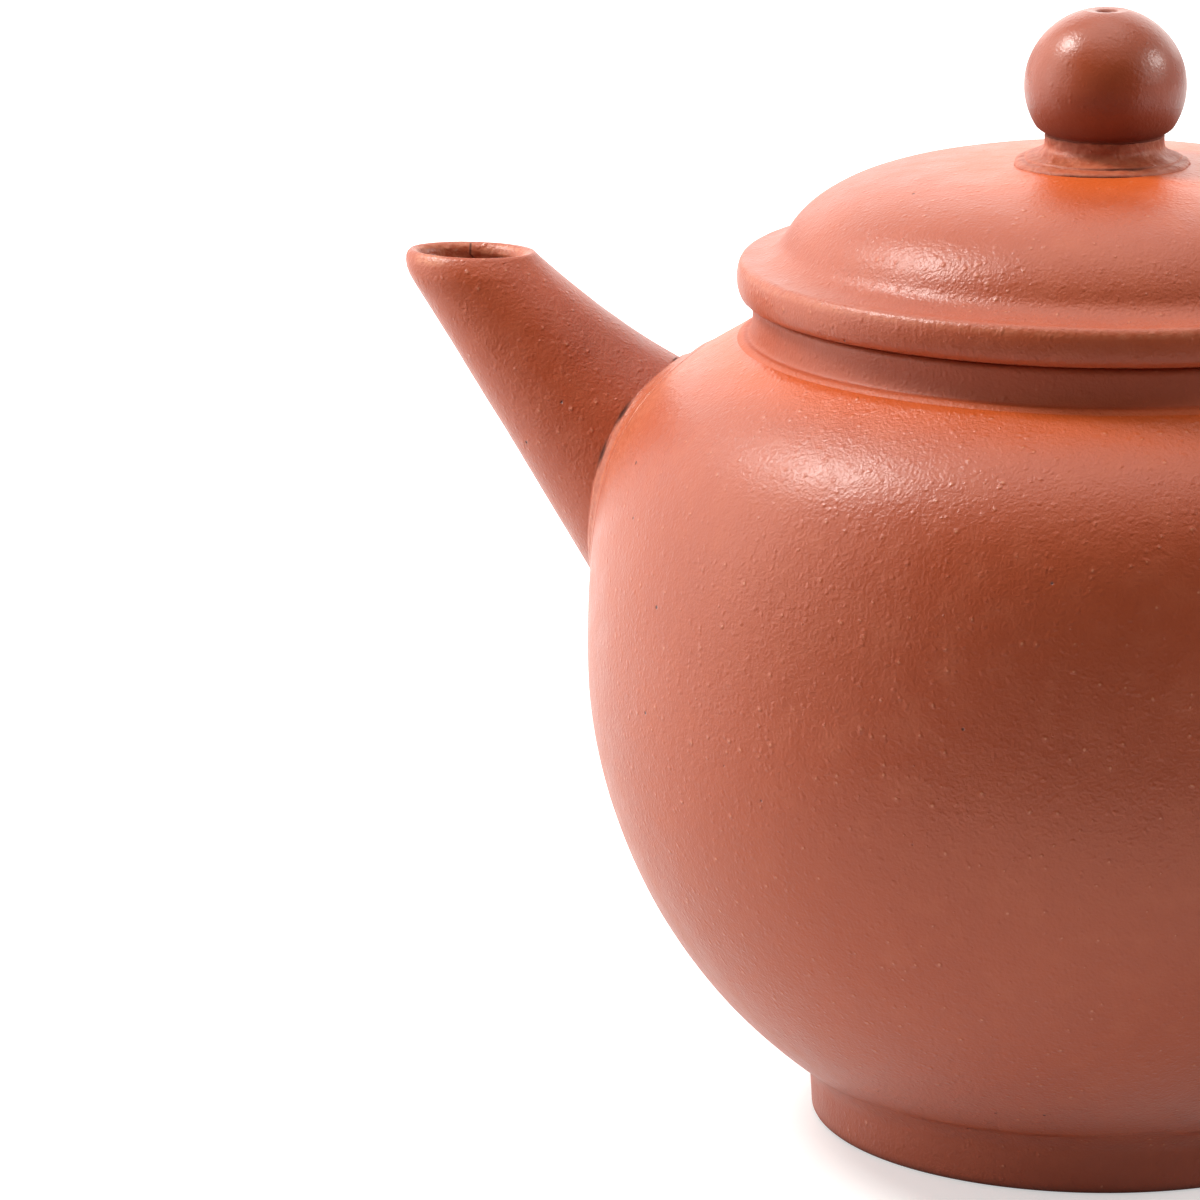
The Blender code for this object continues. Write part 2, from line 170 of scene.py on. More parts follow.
# Marks on the spout, by the angle round it from its upper side, in degrees
ROOT_CRACKS = [(0, 5), (304, 8), (280, 7)]
SCRAPE_ANGLE, SCRAPE_SPREAD = 241, 17
SCRAPE_RINGS = range(4, 8)
CRACK_RINGS = 2
CRACK_WALL_RINGS = 2
SLIT_RINGS = range(8, 24)
MOUTH_CRACK_ANGLE, MOUTH_CRACK_SPAN = 101, 1
# The bore and the rim's inner half are painted paler
BORE_PALENESS = 0.7

# Handle from top root to low root: place, pull along the curve, half thickness
HANDLE_KNOTS = [
    (Vector((32.0, 0, 52.5)) * MM, Vector((6.1, 0, 5.8)) * MM, 3.6 * MM),
    (Vector((49.5, 0, 60.2)) * MM, Vector((7.9, 0, 0.0)) * MM, 3.6 * MM),
    (Vector((63.6, 0, 45.5)) * MM, Vector((0.0, 0, -8.1)) * MM, 3.25 * MM),
    (Vector((32.5, 0, 19.0)) * MM, Vector((-14.0, 0, -3.2)) * MM, 2.5 * MM),
]
HANDLE_TOP_REACH = 0.8
HANDLE_LOW_REACH = 2.4
HANDLE_SIDES = 96
HANDLE_RINGS = 180

# Lid above its seat
DOME_RISE = 10.43 * MM
DOME_FLAT = 10.4 * MM
DOME_SHOULDER = (20.5 * MM, 10.2 * MM)
DOME_COVE = (23.7 * MM, 4.5 * MM)
DOME_BRIM = (24.43 * MM, 3.2 * MM)
LIP_RADIUS = 26.75 * MM
LIP_RISE = 1.53 * MM
LIP_HALF_WIDTH = 0.56 * MM
LIP_HALF_HEIGHT = 1.43 * MM
LIP_CREST = (27.05 * MM, 2.6 * MM)
LIP_CREST_WIDTH = 0.24 * MM
LIP_START, LIP_END = 100, -80
LIP_WEAR = 0.5
UNDERSIDE_SLOPE = -0.2
LID_WALL = 2.8 * MM
FLANGE_RADIUS = 22.7 * MM
FLANGE_WIDTH = 2.5 * MM
FLANGE_ROUND = 0.6 * MM
FLANGE_TONE = 0.7

# Knob above the lid's seat, with its slip neck and its two-layered pad
VENT_RADIUS = 0.48 * MM
VENT_MOUTH = 0.85 * MM
VENT_SINK = 0.08 * MM
VENT_DISH = 0.3 * MM
KNOB_RADIUS = 6.05 * MM
KNOB_HALF_HEIGHT = 5.8 * MM
KNOB_CENTRE = 16.07 * MM
KNOB_TOP_ANGLE = 74.5
KNOB_TURN_ANGLE = -32
KNOB_TURN = [(4.78 * MM, 12.65 * MM), (4.44 * MM, 12.55 * MM)]
KNOB_NECK = (4.36 * MM, 11.7 * MM)
# Painted shade on the knob: its clay darkens from its own tone near the top to full shade at the neck,
# deepest underneath
KNOB_SHADE_TOP = 16.5 * MM
KNOB_TONE, KNOB_SHADE = 0.4, 1.0
KNOB_UNDER_SHADE = 0.85
NECK_RADIUS = 4.5 * MM
NECK_TOP = 12.5 * MM
NECK_LIP = 0.35 * MM
NECK_LOW = 11.65 * MM
PAD_SLOPE = (5.2 * MM, 11.0 * MM)
PAD_BRINK = (5.75 * MM, 10.82 * MM)
PAD_STEP = 0.12 * MM
SMEAR_RADIUS = 6.4 * MM
PAD_SINK = 0.1 * MM
PAD_RAG = 0.3 * MM
PAD_SHIFT = 1.1 * MM
PAD_RAG_TURNS = 2.6
PAD_LEAN = math.radians(-88)
PAD_CRACKS = [(-82, 26), (-66, 24)]
PAD_CRACK_WIDTH = 0.16 * MM
PAD_WEAR = 0.35
# Painted shade round the top of the pad's neck, under the knob
NECK_SHADE = 0.8
NECK_SHADE_WIDTH = 0.7 * MM
# Painted orange bounce light on the lid round the knob's pad
KNOB_BOUNCE_WIDTH = 7.0 * MM
KNOB_BOUNCE_SHARE = 0.9

# Mesh fineness of turned pieces, as sides round the axis and spacing along the profile
BODY_MESH = (320, 0.8 * MM)
COLLAR_MESH = (300, 0.1 * MM)
FOOT_MESH = (260, 0.22 * MM)
BASE_MESH = (160, 0.6 * MM)
LID_MESH = (320, 0.32 * MM)
FLANGE_MESH = (240, 0.3 * MM)
PAD_MESH = (240, 0.08 * MM)
KNOB_MESH = (200, 0.14 * MM)
SHARP_ANGLE = math.radians(50)

# Steps along curves, before their points are spaced evenly
OUTLINE_STEPS = 90
BALL_STEPS = 80
DOME_STEPS = 60
LIP_STEPS = 24
COVE_STEPS = 16
FALL_STEPS = 12
FLARE_STEPS = 10
ROUND_STEPS = 8

# Relief of hand-worked clay as (width, height) pairs
SOFT_WAVES = [(11 * MM, 0.05 * MM), (3.2 * MM, 0.014 * MM)]
LID_WAVES = [(9 * MM, 0.04 * MM), (2.4 * MM, 0.012 * MM)]
TUBE_WAVES = [(6 * MM, 0.06 * MM), (1.8 * MM, 0.016 * MM)]
LUTED_WAVES = [(1.7 * MM, 0.10 * MM), (0.6 * MM, 0.045 * MM)]
FLOOR_CALM = 1.5 * MM
TINY = 1e-12

# Clay colours
CLAY = (0.42, 0.0815, 0.0305)
CLAY_DEEP = (0.39, 0.071, 0.0255)
CLAY_PALE = (0.445, 0.098, 0.041)
# Painted bounce light: a brighter, deeper orange for hollows where clay lights clay and no pale sheen
# reaches
PAINTED_BOUNCE_ORANGE = (0.63, 0.100, 0.012)
# Dark unburnished clay for the pot's insides, and painted shade on the collar, foot, knob and the knob's
# neck
RAW_AND_SHADE = (0.24, 0.050, 0.021)
# Pale colour of rubbed clay, also used for painted sheen and highlights round the spout's root
WORN_AND_SHEEN = (0.62, 0.22, 0.12)
SAND = (0.66, 0.27, 0.15)
# Dark colour of pinholes and cracks, also used for painted shade under the knob and a painted contact
# shadow under the foot
PIT_CRACK_AND_SHADE = (0.085, 0.018, 0.009)
ROUGHNESS = 0.37
SPECULAR = 0.40
ROUGHNESS_SPAN = 0.06
# Extra roughness on unburnished clay, on cracks and on painted shade
MATTE_RAW_AND_SHADE = 0.20
MATTE_CRACK_AND_SHADE = 0.5
KNOB_ROUGHNESS = 0.22
MATTE_ROUGHNESS = 0.5
KNOB_GRAIN = 0.5
KNOB_SAND = 0.1
COLLAR_SAND = 0.3
MOTTLE_SHARE = 0.6
PAINTED_BOUNCE_SHARE = 1.0
SPECK_SHARE = 0.45

# Clay texture, by the size of its features
BROAD_SIZE = 18 * MM
MOTTLE_SIZE = 2.4 * MM
CRUMB_SIZE = 0.65 * MM
SPECK_CELL = 0.9 * MM
SPECK_SIZE = 0.17
SPECK_STRAY = 0.25 * MM
SPECK_CHANCE = 0.2
SPECK_CORE = 0.4
MOUND_SPREAD = 2.2
PIT_CELL = 3.2 * MM
PIT_SIZE = 0.055
PIT_CHANCE = 0.5
PEEL_SIZE = 0.85 * MM
FINE_SIZE = 0.22 * MM
GRAIN_CELL = 0.5 * MM
GRAIN_REACH = 0.6
BUMP_DEPTH = 0.09 * MM
PEEL_WEIGHT = 0.4
FINE_WEIGHT = 0.5
GRAIN_WEIGHT = 0.4
LINE_WEIGHT = 0.13
MOUND_WEIGHT = 0.45
PIT_WEIGHT = -0.9
BROAD_DETAIL = 2.0
MOTTLE_DETAIL = 4.0
CRUMB_DETAIL = 3.0
BUMP_DETAIL = 2.0
UPRIGHT_STROKES = (900, 900, 45)
ROUND_STROKES = (45, 45, 1000)

# Noise values between which colour and gloss change over
BROAD_BAND = (0.3, 0.7)
MOTTLE_BAND = (0.45, 0.80)
WORN_AND_SHEEN_BAND = (0.35, 0.65)
WORN_AND_SHEEN_LEAST = 0.2
GLOSS_BAND = (0.3, 0.7)

# Sockets of the Mix node that hold its amount and its colours
MIX_AMOUNT, MIX_LOW, MIX_HIGH = 0, 6, 7
MIX_RESULT = 2

# Camera and studio
CAMERA_PLACE = (0.09277, -0.46374, 0.15566)
CAMERA_TILT = math.radians(76.27)
CAMERA_TURN = math.radians(16.54)
CAMERA_LENS = 192.75
SENSOR_WIDTH = 36.0
FLOOR_HALF = 4.0
FLOOR_WHITE = 0.68
FLOOR_GLOW = 0.48
FLOOR_GLOW_NEAR, FLOOR_GLOW_FAR = 0.06, 0.22
WORLD_LEVEL = 0.04
FLAG_NEAR = 0.13
FLAG_DISTANCE = 0.9
FLAG_HEIGHT = 1.1
FLAG_CLEAR = 1 * MM
FLAG_SPREAD = 62
FLAG_FOLDS = 8
FLAG_GREY = 0.02

LAMP_TINT = (1.0, 0.985, 0.95)

# Soft boxes: direction from the pot, distance, width, height, power
SOFT_BOXES = {
    "key": ((-0.62, -0.03, 0.78), 0.62, 0.15, 0.15, 3.2),
    "fill": ((0.82, 0.24, 0.52), 0.62, 0.14, 0.14, 1.2),
    "left_panel": ((-0.95, 0.12, 0.28), 0.80, 0.9, 0.8, 2.9),
    "left_front": ((-0.86, -0.42, 0.28), 0.80, 0.7, 0.8, 2.6),
    "back_panel": ((-0.10, 0.88, 0.46), 0.90, 1.5, 0.8, 4.1),
    "top_panel": ((-0.05, 0.10, 0.99), 0.80, 0.7, 0.7, 2.4),
    "right_panel": ((0.95, 0.05, 0.45), 0.80, 0.5, 0.5, 1.0),
}


# Curves and outlines

def arc(centre, radii, start, end, count):
    """Points on an ellipse arc, from start to end in degrees."""
    angles = [math.radians(start + (end - start) * step / count) for step in range(count + 1)]
    return [(centre[0] + radii[0] * math.cos(a), centre[1] + radii[1] * math.sin(a)) for a in angles]


def on_curve(controls, t):
    """Point at t on the Bezier curve with these control points."""
    points = [Vector(control) for control in controls]
    while len(points) > 1:
        points = [a.lerp(b, t) for a, b in zip(points, points[1:])]
    return points[0]


def curve(controls, count):
    return [tuple(on_curve(controls, step / count)) for step in range(count + 1)]


def even(points, spacing):
    """The same line with points about one spacing apart, its corners kept to within half a spacing."""
    line = np.array(points)
    lengths = np.hypot(*np.diff(line, axis=0).T)
    along = np.concatenate([[0], np.cumsum(lengths)])
    wanted = np.linspace(0, along[-1], max(2, round(along[-1] / spacing) + 1))
    return np.stack([np.interp(wanted, along, line[:, k]) for k in range(2)], axis=1)


def outwards(line, closed):
    """Unit normals of a profile that runs down its outer side."""
    if closed:
        slope = np.roll(line, -1, axis=0) - np.roll(line, 1, axis=0)
    else:
        slope = np.gradient(line, axis=0)
    normal = np.stack([-slope[:, 1], slope[:, 0]], axis=1)
    return normal / np.maximum(np.linalg.norm(normal, axis=1), TINY)[:, None]


def shoulder_controls():
    """Shoulder curve from the collar down to the widest circle."""
    turn_in = Vector((math.cos(SHOULDER_SLOPE), -math.sin(SHOULDER_SLOPE))) * SHOULDER_PULL
    top = Vector((SHOULDER_RADIUS, SHOULDER_HEIGHT))
    belly = Vector((BODY_RADIUS, BELLY_HEIGHT))
    return [top, top + turn_in, belly + Vector((0, BELLY_PULL)), belly]


def body_outline(offset=0.0):
    """Outside of the body from the shoulder down to the base joint, moved outwards by offset."""
    shoulder = curve(shoulder_controls(), OUTLINE_STEPS)
    joint = math.degrees(math.asin((JOINT_HEIGHT - BELLY_HEIGHT) / BELLY_ARC))
    centre = (BODY_RADIUS - BELLY_ARC, BELLY_HEIGHT)
    wall = arc(centre, (BELLY_ARC, BELLY_ARC), 0, joint, OUTLINE_STEPS)
    line = np.array(shoulder[:-1] + wall)
    return line + outwards(line, closed=False) * offset


OUTLINE = body_outline()
OUTLINE_NORMALS = outwards(OUTLINE, closed=False)


def wall_radius(height):
    """Outer radius of the body at this height."""
    return float(np.interp(height, OUTLINE[::-1, 1], OUTLINE[::-1, 0]))


def dome_line():
    """Top of the lid from its vent out to its coved edge, above the seat."""
    controls = [(VENT_RADIUS, DOME_RISE), (DOME_FLAT, DOME_RISE), DOME_SHOULDER, DOME_COVE]
    return curve(controls, DOME_STEPS)


def radius_of(place):
    return math.hypot(place.x - AXIS.x, place.y)


def turn_of(place):
    return math.atan2(place.y, place.x - AXIS.x)


def over_body(place):
    """Nearest point of the body's outline, as its index and the signed height of place over it."""
    away = np.array((radius_of(place), place.z)) - OUTLINE
    index = int(np.argmin((away ** 2).sum(axis=1)))
    return index, float(away[index] @ OUTLINE_NORMALS[index])


def body_normal(place):
    flat, up = OUTLINE_NORMALS[over_body(place)[0]]
    turn = turn_of(place)
    return Vector((flat * math.cos(turn), flat * math.sin(turn), up))


def relief(place, waves):
    """Height of the worked surface above its true form."""
    return sum(height * noise.noise(place / width) for width, height in waves)


def on_body(place, height):
    """The point nearest to place at that height over the worked surface of the body."""
    rise = height + relief(place, SOFT_WAVES) - over_body(place)[1]
    return place + body_normal(place) * rise


def bump_of(value, middle, width):
    return math.exp(-((value - middle) / width) ** 2)


def angle_gap(first, second):
    """Degrees between two directions."""
    return abs((first - second + 180) % 360 - 180)


# Meshes

def grid_mesh(name, rings, capped=False):
    """Mesh over rings of points; it closes on itself, or with a cap at each end."""
    sides = len(rings[0])
    build = bmesh.new()
    rows = [[build.verts.new(point) for point in ring] for ring in rings]
    pairs = list(zip(rows, rows[1:]))
    if not capped:
        pairs.append((rows[-1], rows[0]))
    for row, following in pairs:
        for side in range(sides):
            after = (side + 1) % sides
            build.faces.new((row[side], row[after], following[after], following[side]))
    if capped:
        build.faces.new(rows[0])
        build.faces.new(rows[-1])
    bmesh.ops.recalc_face_normals(build, faces=build.faces)
    mesh = bpy.data.meshes.new(name)
    build.to_mesh(mesh)
    build.free()
    mesh.shade_smooth()
    return mesh


def turned_rings(line, sides, waves, rise=0.0, sway=None, closed=True):
    """Rings of a profile turned round the axis, with the relief of worked clay."""
    rings = []
    for (radius, height), (flat, up) in zip(line, outwards(line, closed)):
        ring = []
        for side in range(sides):
            turn = 2 * math.pi * side / sides
            spoke = Vector((math.cos(turn), math.sin(turn), 0))
            reach = radius + (sway(radius, turn) if sway else 0.0)
            place = AXIS + spoke * reach + Vector((0, 0, height + rise))
            calm = min(1.0, max(0.0, place.z / FLOOR_CALM))
            ring.append(place + (spoke * flat + Vector((0, 0, up))) * relief(place, waves) * calm)
        rings.append(ring)
    return rings


def turned_mesh(name, profile, fineness, waves, rise=0.0, sway=None):
    """Mesh of a closed profile turned round the axis."""
    sides, spacing = fineness
    line = even(profile + profile[:1], spacing)[:-1]
    return grid_mesh(name, turned_rings(line, sides, waves, rise, sway))


def cut_away(mesh, cutter_mesh):
    """The mesh with the cutter's room taken out of it."""
    whole = bpy.data.objects.new("whole", mesh)
    cutter = bpy.data.objects.new("cutter", cutter_mesh)
    for obj in (whole, cutter):
        bpy.context.scene.collection.objects.link(obj)
    boolean = whole.modifiers.new("cut", "BOOLEAN")
    boolean.object = cutter
    bpy.context.view_layer.update()
    result = bpy.data.meshes.new_from_object(whole.evaluated_get(bpy.context.evaluated_depsgraph_get()))
    result.name = mesh.name
    for obj in (whole, cutter):
        bpy.data.objects.remove(obj, do_unlink=True)
    result.set_sharp_from_angle(angle=SHARP_ANGLE)
    return result


def rod_mesh(rods, segments):
    """Cutter mesh of round rods, each given as (radius, length, matrix)."""
    build = bmesh.new()
    for radius, length, matrix in rods:
        bmesh.ops.create_cone(build, cap_ends=True, segments=segments, radius1=radius, radius2=radius,
                              depth=length, matrix=matrix)
    mesh = bpy.data.meshes.new("rods")
    build.to_mesh(mesh)
    build.free()
    return mesh


def set_marks(mesh, name, values):
    """Stores how strongly each point of the mesh is marked, for its material to read."""
    mesh.attributes.new(name, "FLOAT", "POINT").data.foreach_set("value", values)


def mark_points(mesh, name, value_of):
    set_marks(mesh, name, [value_of(vertex) for vertex in mesh.vertices])


def mark_edge(mesh, name, edge, width, strength):
    """Marks along one turned edge, given as (radius, height)."""
    def value_of(vertex):
        distance = math.hypot(radius_of(vertex.co) - edge[0], vertex.co.z - edge[1])
        return strength * bump_of(distance, 0, width)
    mark_points(mesh, name, value_of)


def add_piece(name, mesh, body, material, slot, *nodes):
    piece = bpy.data.objects.new(name, mesh)
    bpy.context.scene.collection.objects.link(piece)
    mesh.materials.clear()
    mesh.materials.append(material)
    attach(piece, body)
    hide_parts(*nodes)


# Clay material

def node(tree, kind, inputs=None, **settings):
    made = tree.nodes.new("ShaderNode" + kind)
    for key, value in settings.items():
        setattr(made, key, value)
    for key, value in (inputs or {}).items():
        if isinstance(value, bpy.types.NodeSocket):
            tree.links.new(value, made.inputs[key])
        else:
            made.inputs[key].default_value = value
    return made


def mixed(tree, amount, low, high):
    """Colour between low and high by amount."""
    made = tree.nodes.new("ShaderNodeMix")
    made.data_type = "RGBA"
    for number, value in ((MIX_AMOUNT, amount), (MIX_LOW, low), (MIX_HIGH, high)):
        socket = made.inputs[number]
        if isinstance(value, bpy.types.NodeSocket):
            tree.links.new(value, socket)
        elif isinstance(value, tuple):
            socket.default_value = (*value, 1.0)
        else:
            socket.default_value = value
    return made.outputs[MIX_RESULT]


def ranged(tree, value, low, high, start=0.0, end=1.0):
    """Value brought from low..high to start..end, with soft ends."""
    made = node(tree, "MapRange", {"Value": value, "From Min": low, "From Max": high,
                                   "To Min": start, "To Max": end}, interpolation_type="SMOOTHSTEP")
    return made.outputs["Result"]


def math_of(tree, operation, first, second):
    return node(tree, "Math", {0: first, 1: second}, operation=operation).outputs[0]


def summed(tree, terms):
    """Weighted sum of (value, weight) pairs."""
    total = 0.0
    for value, weight in terms:
        total = math_of(tree, "ADD", math_of(tree, "MULTIPLY", value, weight), total)
    return total


def noise_of(tree, place, size, detail):
    return node(tree, "TexNoise", {"Vector": place, "Scale": 1 / size, "Detail": detail}).outputs["Fac"]


def cells_of(tree, place, size):
    """Distance from the middle of the nearest cell, in cells, and that cell's own random value."""
    cells = node(tree, "TexVoronoi", {"Vector": place, "Scale": 1 / size})
    chance = node(tree, "SeparateColor", {"Color": cells.outputs["Color"]}).outputs["Red"]
    return cells.outputs["Distance"], chance


def mark_of(tree, name):
    return node(tree, "Attribute", attribute_name=name).outputs["Fac"]


def strayed(tree, place):
    """Place moved about by noise, so that cells get ragged outlines."""
    warp = node(tree, "TexNoise", {"Vector": place, "Scale": 1 / CRUMB_SIZE}).outputs["Color"]
    stray = node(tree, "VectorMath", {0: warp, "Scale": SPECK_STRAY}, operation="SCALE").outputs["Vector"]
    return node(tree, "VectorMath", {0: place, 1: stray}, operation="ADD").outputs["Vector"]


def sand_specks(tree, place):
    """Sparse pale sand grains of many sizes, and the mounds that they raise."""
    distance, chance = cells_of(tree, place, SPECK_CELL)
    edge = ranged(tree, chance, SPECK_CHANCE, 1.0, 0.0, SPECK_SIZE)
    core = math_of(tree, "MULTIPLY", edge, SPECK_CORE)
    inside = math_of(tree, "LESS_THAN", distance, edge)
    specks = math_of(tree, "MULTIPLY", ranged(tree, distance, edge, core), inside)
    foot = math_of(tree, "MULTIPLY", edge, MOUND_SPREAD)
    under = math_of(tree, "LESS_THAN", distance, foot)
    mounds = math_of(tree, "MULTIPLY", ranged(tree, distance, foot, 0.0), under)
    return specks, mounds


def raised_grains(tree, place):
    """Fine raised grains of many heights."""
    distance, chance = cells_of(tree, place, GRAIN_CELL)
    dome = ranged(tree, distance, GRAIN_REACH, 0.0)
    return math_of(tree, "MULTIPLY", dome, math_of(tree, "MULTIPLY", chance, chance))


def dark_pits(tree, place):
    """A few pinholes."""
    distance, chance = cells_of(tree, place, PIT_CELL)
    chosen = math_of(tree, "GREATER_THAN", chance, PIT_CHANCE)
    return math_of(tree, "MULTIPLY", ranged(tree, distance, PIT_SIZE, PIT_SIZE / 2), chosen)


def clay_finish(name, strokes, grain=1.0, sand=1.0, pitted=True, lean=0.0, roughness=ROUGHNESS):
    """Unglazed fired clay: mottled colour, sand specks, pinholes, fine grain and tool strokes.

    A mesh marks rubbed pale clay, painted sheen and highlights, cracks, painted shade and a painted contact
    shadow, painted orange bounce light, and dark unburnished clay.
    """
    material = bpy.data.materials.new(name)
    material.use_nodes = True
    tree = material.node_tree
    shader = tree.nodes["Principled BSDF"]
    place = node(tree, "TexCoord").outputs["Object"]
    mottle = noise_of(tree, place, MOTTLE_SIZE, MOTTLE_DETAIL)
    crumb = noise_of(tree, place, CRUMB_SIZE, CRUMB_DETAIL)
    ragged = strayed(tree, place)
    specks, mounds = sand_specks(tree, ragged)
    pits = dark_pits(tree, place) if pitted else 0.0
    painted_bounce = mark_of(tree, "painted_bounce")
    raw_and_shade = mark_of(tree, "raw_and_shade")
    crack_and_shade = mark_of(tree, "crack_and_shade")

    broad = noise_of(tree, place, BROAD_SIZE, BROAD_DETAIL)
    colour = mixed(tree, ranged(tree, broad, *BROAD_BAND), CLAY_DEEP, CLAY)
    colour = mixed(tree, ranged(tree, mottle, *MOTTLE_BAND, 0.0, MOTTLE_SHARE), colour, CLAY_PALE)
    # Painted orange bounce light
    colour = mixed(tree, math_of(tree, "MULTIPLY", painted_bounce, PAINTED_BOUNCE_SHARE), colour, PAINTED_BOUNCE_ORANGE)
    # Dark unburnished clay, and painted shade
    colour = mixed(tree, raw_and_shade, colour, RAW_AND_SHADE)
    # Rubbed pale clay, and painted sheen and highlights
    crumb_share = ranged(tree, crumb, *WORN_AND_SHEEN_BAND, WORN_AND_SHEEN_LEAST, 1.0)
    worn_and_sheen = math_of(tree, "MULTIPLY", mark_of(tree, "wear_and_sheen"), crumb_share)
    colour = mixed(tree, worn_and_sheen, colour, WORN_AND_SHEEN)
    colour = mixed(tree, math_of(tree, "MULTIPLY", specks, SPECK_SHARE * sand), colour, SAND)
    # Pinholes and cracks, and painted shade and a painted contact shadow in the same dark colour
    colour = mixed(tree, math_of(tree, "MAXIMUM", pits, crack_and_shade), colour, PIT_CRACK_AND_SHADE)
    tree.links.new(colour, shader.inputs["Base Color"])

    smooth, rough = roughness - ROUGHNESS_SPAN / 2, roughness + ROUGHNESS_SPAN / 2
    gloss = ranged(tree, mottle, *GLOSS_BAND, smooth, rough)
    gloss = summed(tree, [(gloss, 1.0), (raw_and_shade, MATTE_RAW_AND_SHADE), (crack_and_shade, MATTE_CRACK_AND_SHADE)])
    tree.links.new(gloss, shader.inputs["Roughness"])
    shader.inputs["Specular IOR Level"].default_value = SPECULAR

    drawn = node(tree, "Mapping", {"Vector": place, "Rotation": Euler((0, lean, 0)), "Scale": strokes})
    lines = node(tree, "TexNoise", {"Vector": drawn.outputs["Vector"], "Scale": 1.0, "Detail": BUMP_DETAIL})
    height = summed(tree, [
        (noise_of(tree, place, PEEL_SIZE, BUMP_DETAIL), PEEL_WEIGHT * grain),
        (noise_of(tree, place, FINE_SIZE, BUMP_DETAIL), FINE_WEIGHT * grain),
        (raised_grains(tree, ragged), GRAIN_WEIGHT * grain),
        (lines.outputs["Fac"], LINE_WEIGHT),
        (mounds, MOUND_WEIGHT * sand),
        (pits, PIT_WEIGHT),
    ])
    bump = node(tree, "Bump", {"Height": height, "Distance": BUMP_DEPTH, "Strength": 1.0})
    tree.links.new(bump.outputs["Normal"], shader.inputs["Normal"])
    return material


# Turned pieces of the pot

def port_frame():
    """Frame on the outside of the wall at the port, with +Z into the pot."""
    reach, height = on_curve(shoulder_controls(), PORT_SHARE)
    place = AXIS + Vector((-reach, 0, height))
    return Matrix.Translation(place) @ Matrix.Rotation(math.pi / 2 + PORT_TILT, 4, "Y")


def painted_root_sheen(vertex):
    """Painted sheen over the upper side of the spout's root: a pale band on the body and the bead."""
    away = vertex.co - AXIS - ROOT_SHEEN_CENTRE
    rise = min(1.0, max(0.0, away.z / ROOT_SHEEN_RADIUS * 2))
    return ROOT_SHEEN_SHARE * rise * bump_of(away.length, ROOT_SHEEN_RADIUS, ROOT_SHEEN_WIDTH)


def make_body():
    outside = [tuple(point) for point in body_outline()]
    inside = [tuple(point) for point in body_outline(-BODY_WALL)[::-1]]
    mouth = [(MOUTH_RADIUS, inside[-1][1]), (MOUTH_RADIUS, SHOULDER_HEIGHT)]
    mesh = turned_mesh("pot_body", outside + inside + mouth, BODY_MESH, SOFT_WAVES)
    mesh = cut_away(mesh, rod_mesh([(PORT_RADIUS, PORT_CUT, port_frame())], PORT_SIDES))
    middle = AXIS + Vector((0, 0, BELLY_HEIGHT))
    mark_points(mesh, "raw_and_shade", lambda vertex: float(vertex.normal.dot(vertex.co - middle) < 0))
    # Painted orange bounce light on the shoulder
    mark_edge(mesh, "painted_bounce", (SHOULDER_RADIUS, SHOULDER_HEIGHT), SHOULDER_BOUNCE_WIDTH, SHOULDER_BOUNCE_SHARE)
    # Painted sheen round the spout's root
    mark_points(mesh, "wear_and_sheen", painted_root_sheen)
    add_piece("pot_body", mesh, "pot", clay_finish("body_clay", UPRIGHT_STROKES), "clay", "body")


def make_collar():
    """Neck collar with a rounded top edge and a soft ridge at its foot."""
    low, top = SHOULDER_HEIGHT, COLLAR_TOP
    ridge = Vector((COLLAR_RADIUS + COLLAR_RIDGE[0], low + COLLAR_RIDGE[1]))
    slope = Vector((math.cos(SHOULDER_SLOPE), -math.sin(SHOULDER_SLOPE)))
    edge = Vector((SHOULDER_RADIUS, low)) + slope * COLLAR_FALL - Vector((0, COLLAR_SINK))
    centre = (COLLAR_RADIUS - COLLAR_ROUND, top - COLLAR_ROUND)
    rounding = arc(centre, (COLLAR_ROUND, COLLAR_ROUND), 90, 0, ROUND_STEPS)
    cove = curve([(COLLAR_RADIUS, low + COLLAR_COVE), (COLLAR_RADIUS, ridge.y), ridge], FLARE_STEPS)
    controls = [ridge, ridge + Vector((COLLAR_FALL, 0)), edge - slope * COLLAR_FALL * 2, edge]
    fall = curve(controls, FALL_STEPS)[1:]
    inside = [(MOUTH_RADIUS, low), (MOUTH_RADIUS, top - COLLAR_ROUND), (MOUTH_RADIUS + COLLAR_ROUND, top)]
    mesh = turned_mesh("collar", rounding + cove + fall + inside, COLLAR_MESH, LID_WAVES)
    # Painted shade over the whole collar
    mark_points(mesh, "raw_and_shade", lambda vertex: COLLAR_SHADE)
    # Painted orange bounce light where the collar meets the shoulder
    mark_edge(mesh, "painted_bounce", (SHOULDER_RADIUS, low), COLLAR_COVE / 2, SHOULDER_BOUNCE_SHARE)
    material = clay_finish("collar_clay", ROUND_STROKES, sand=COLLAR_SAND, pitted=False,
                           roughness=MATTE_ROUGHNESS)
    add_piece("collar", mesh, "pot", material, "clay", "neck_collar")


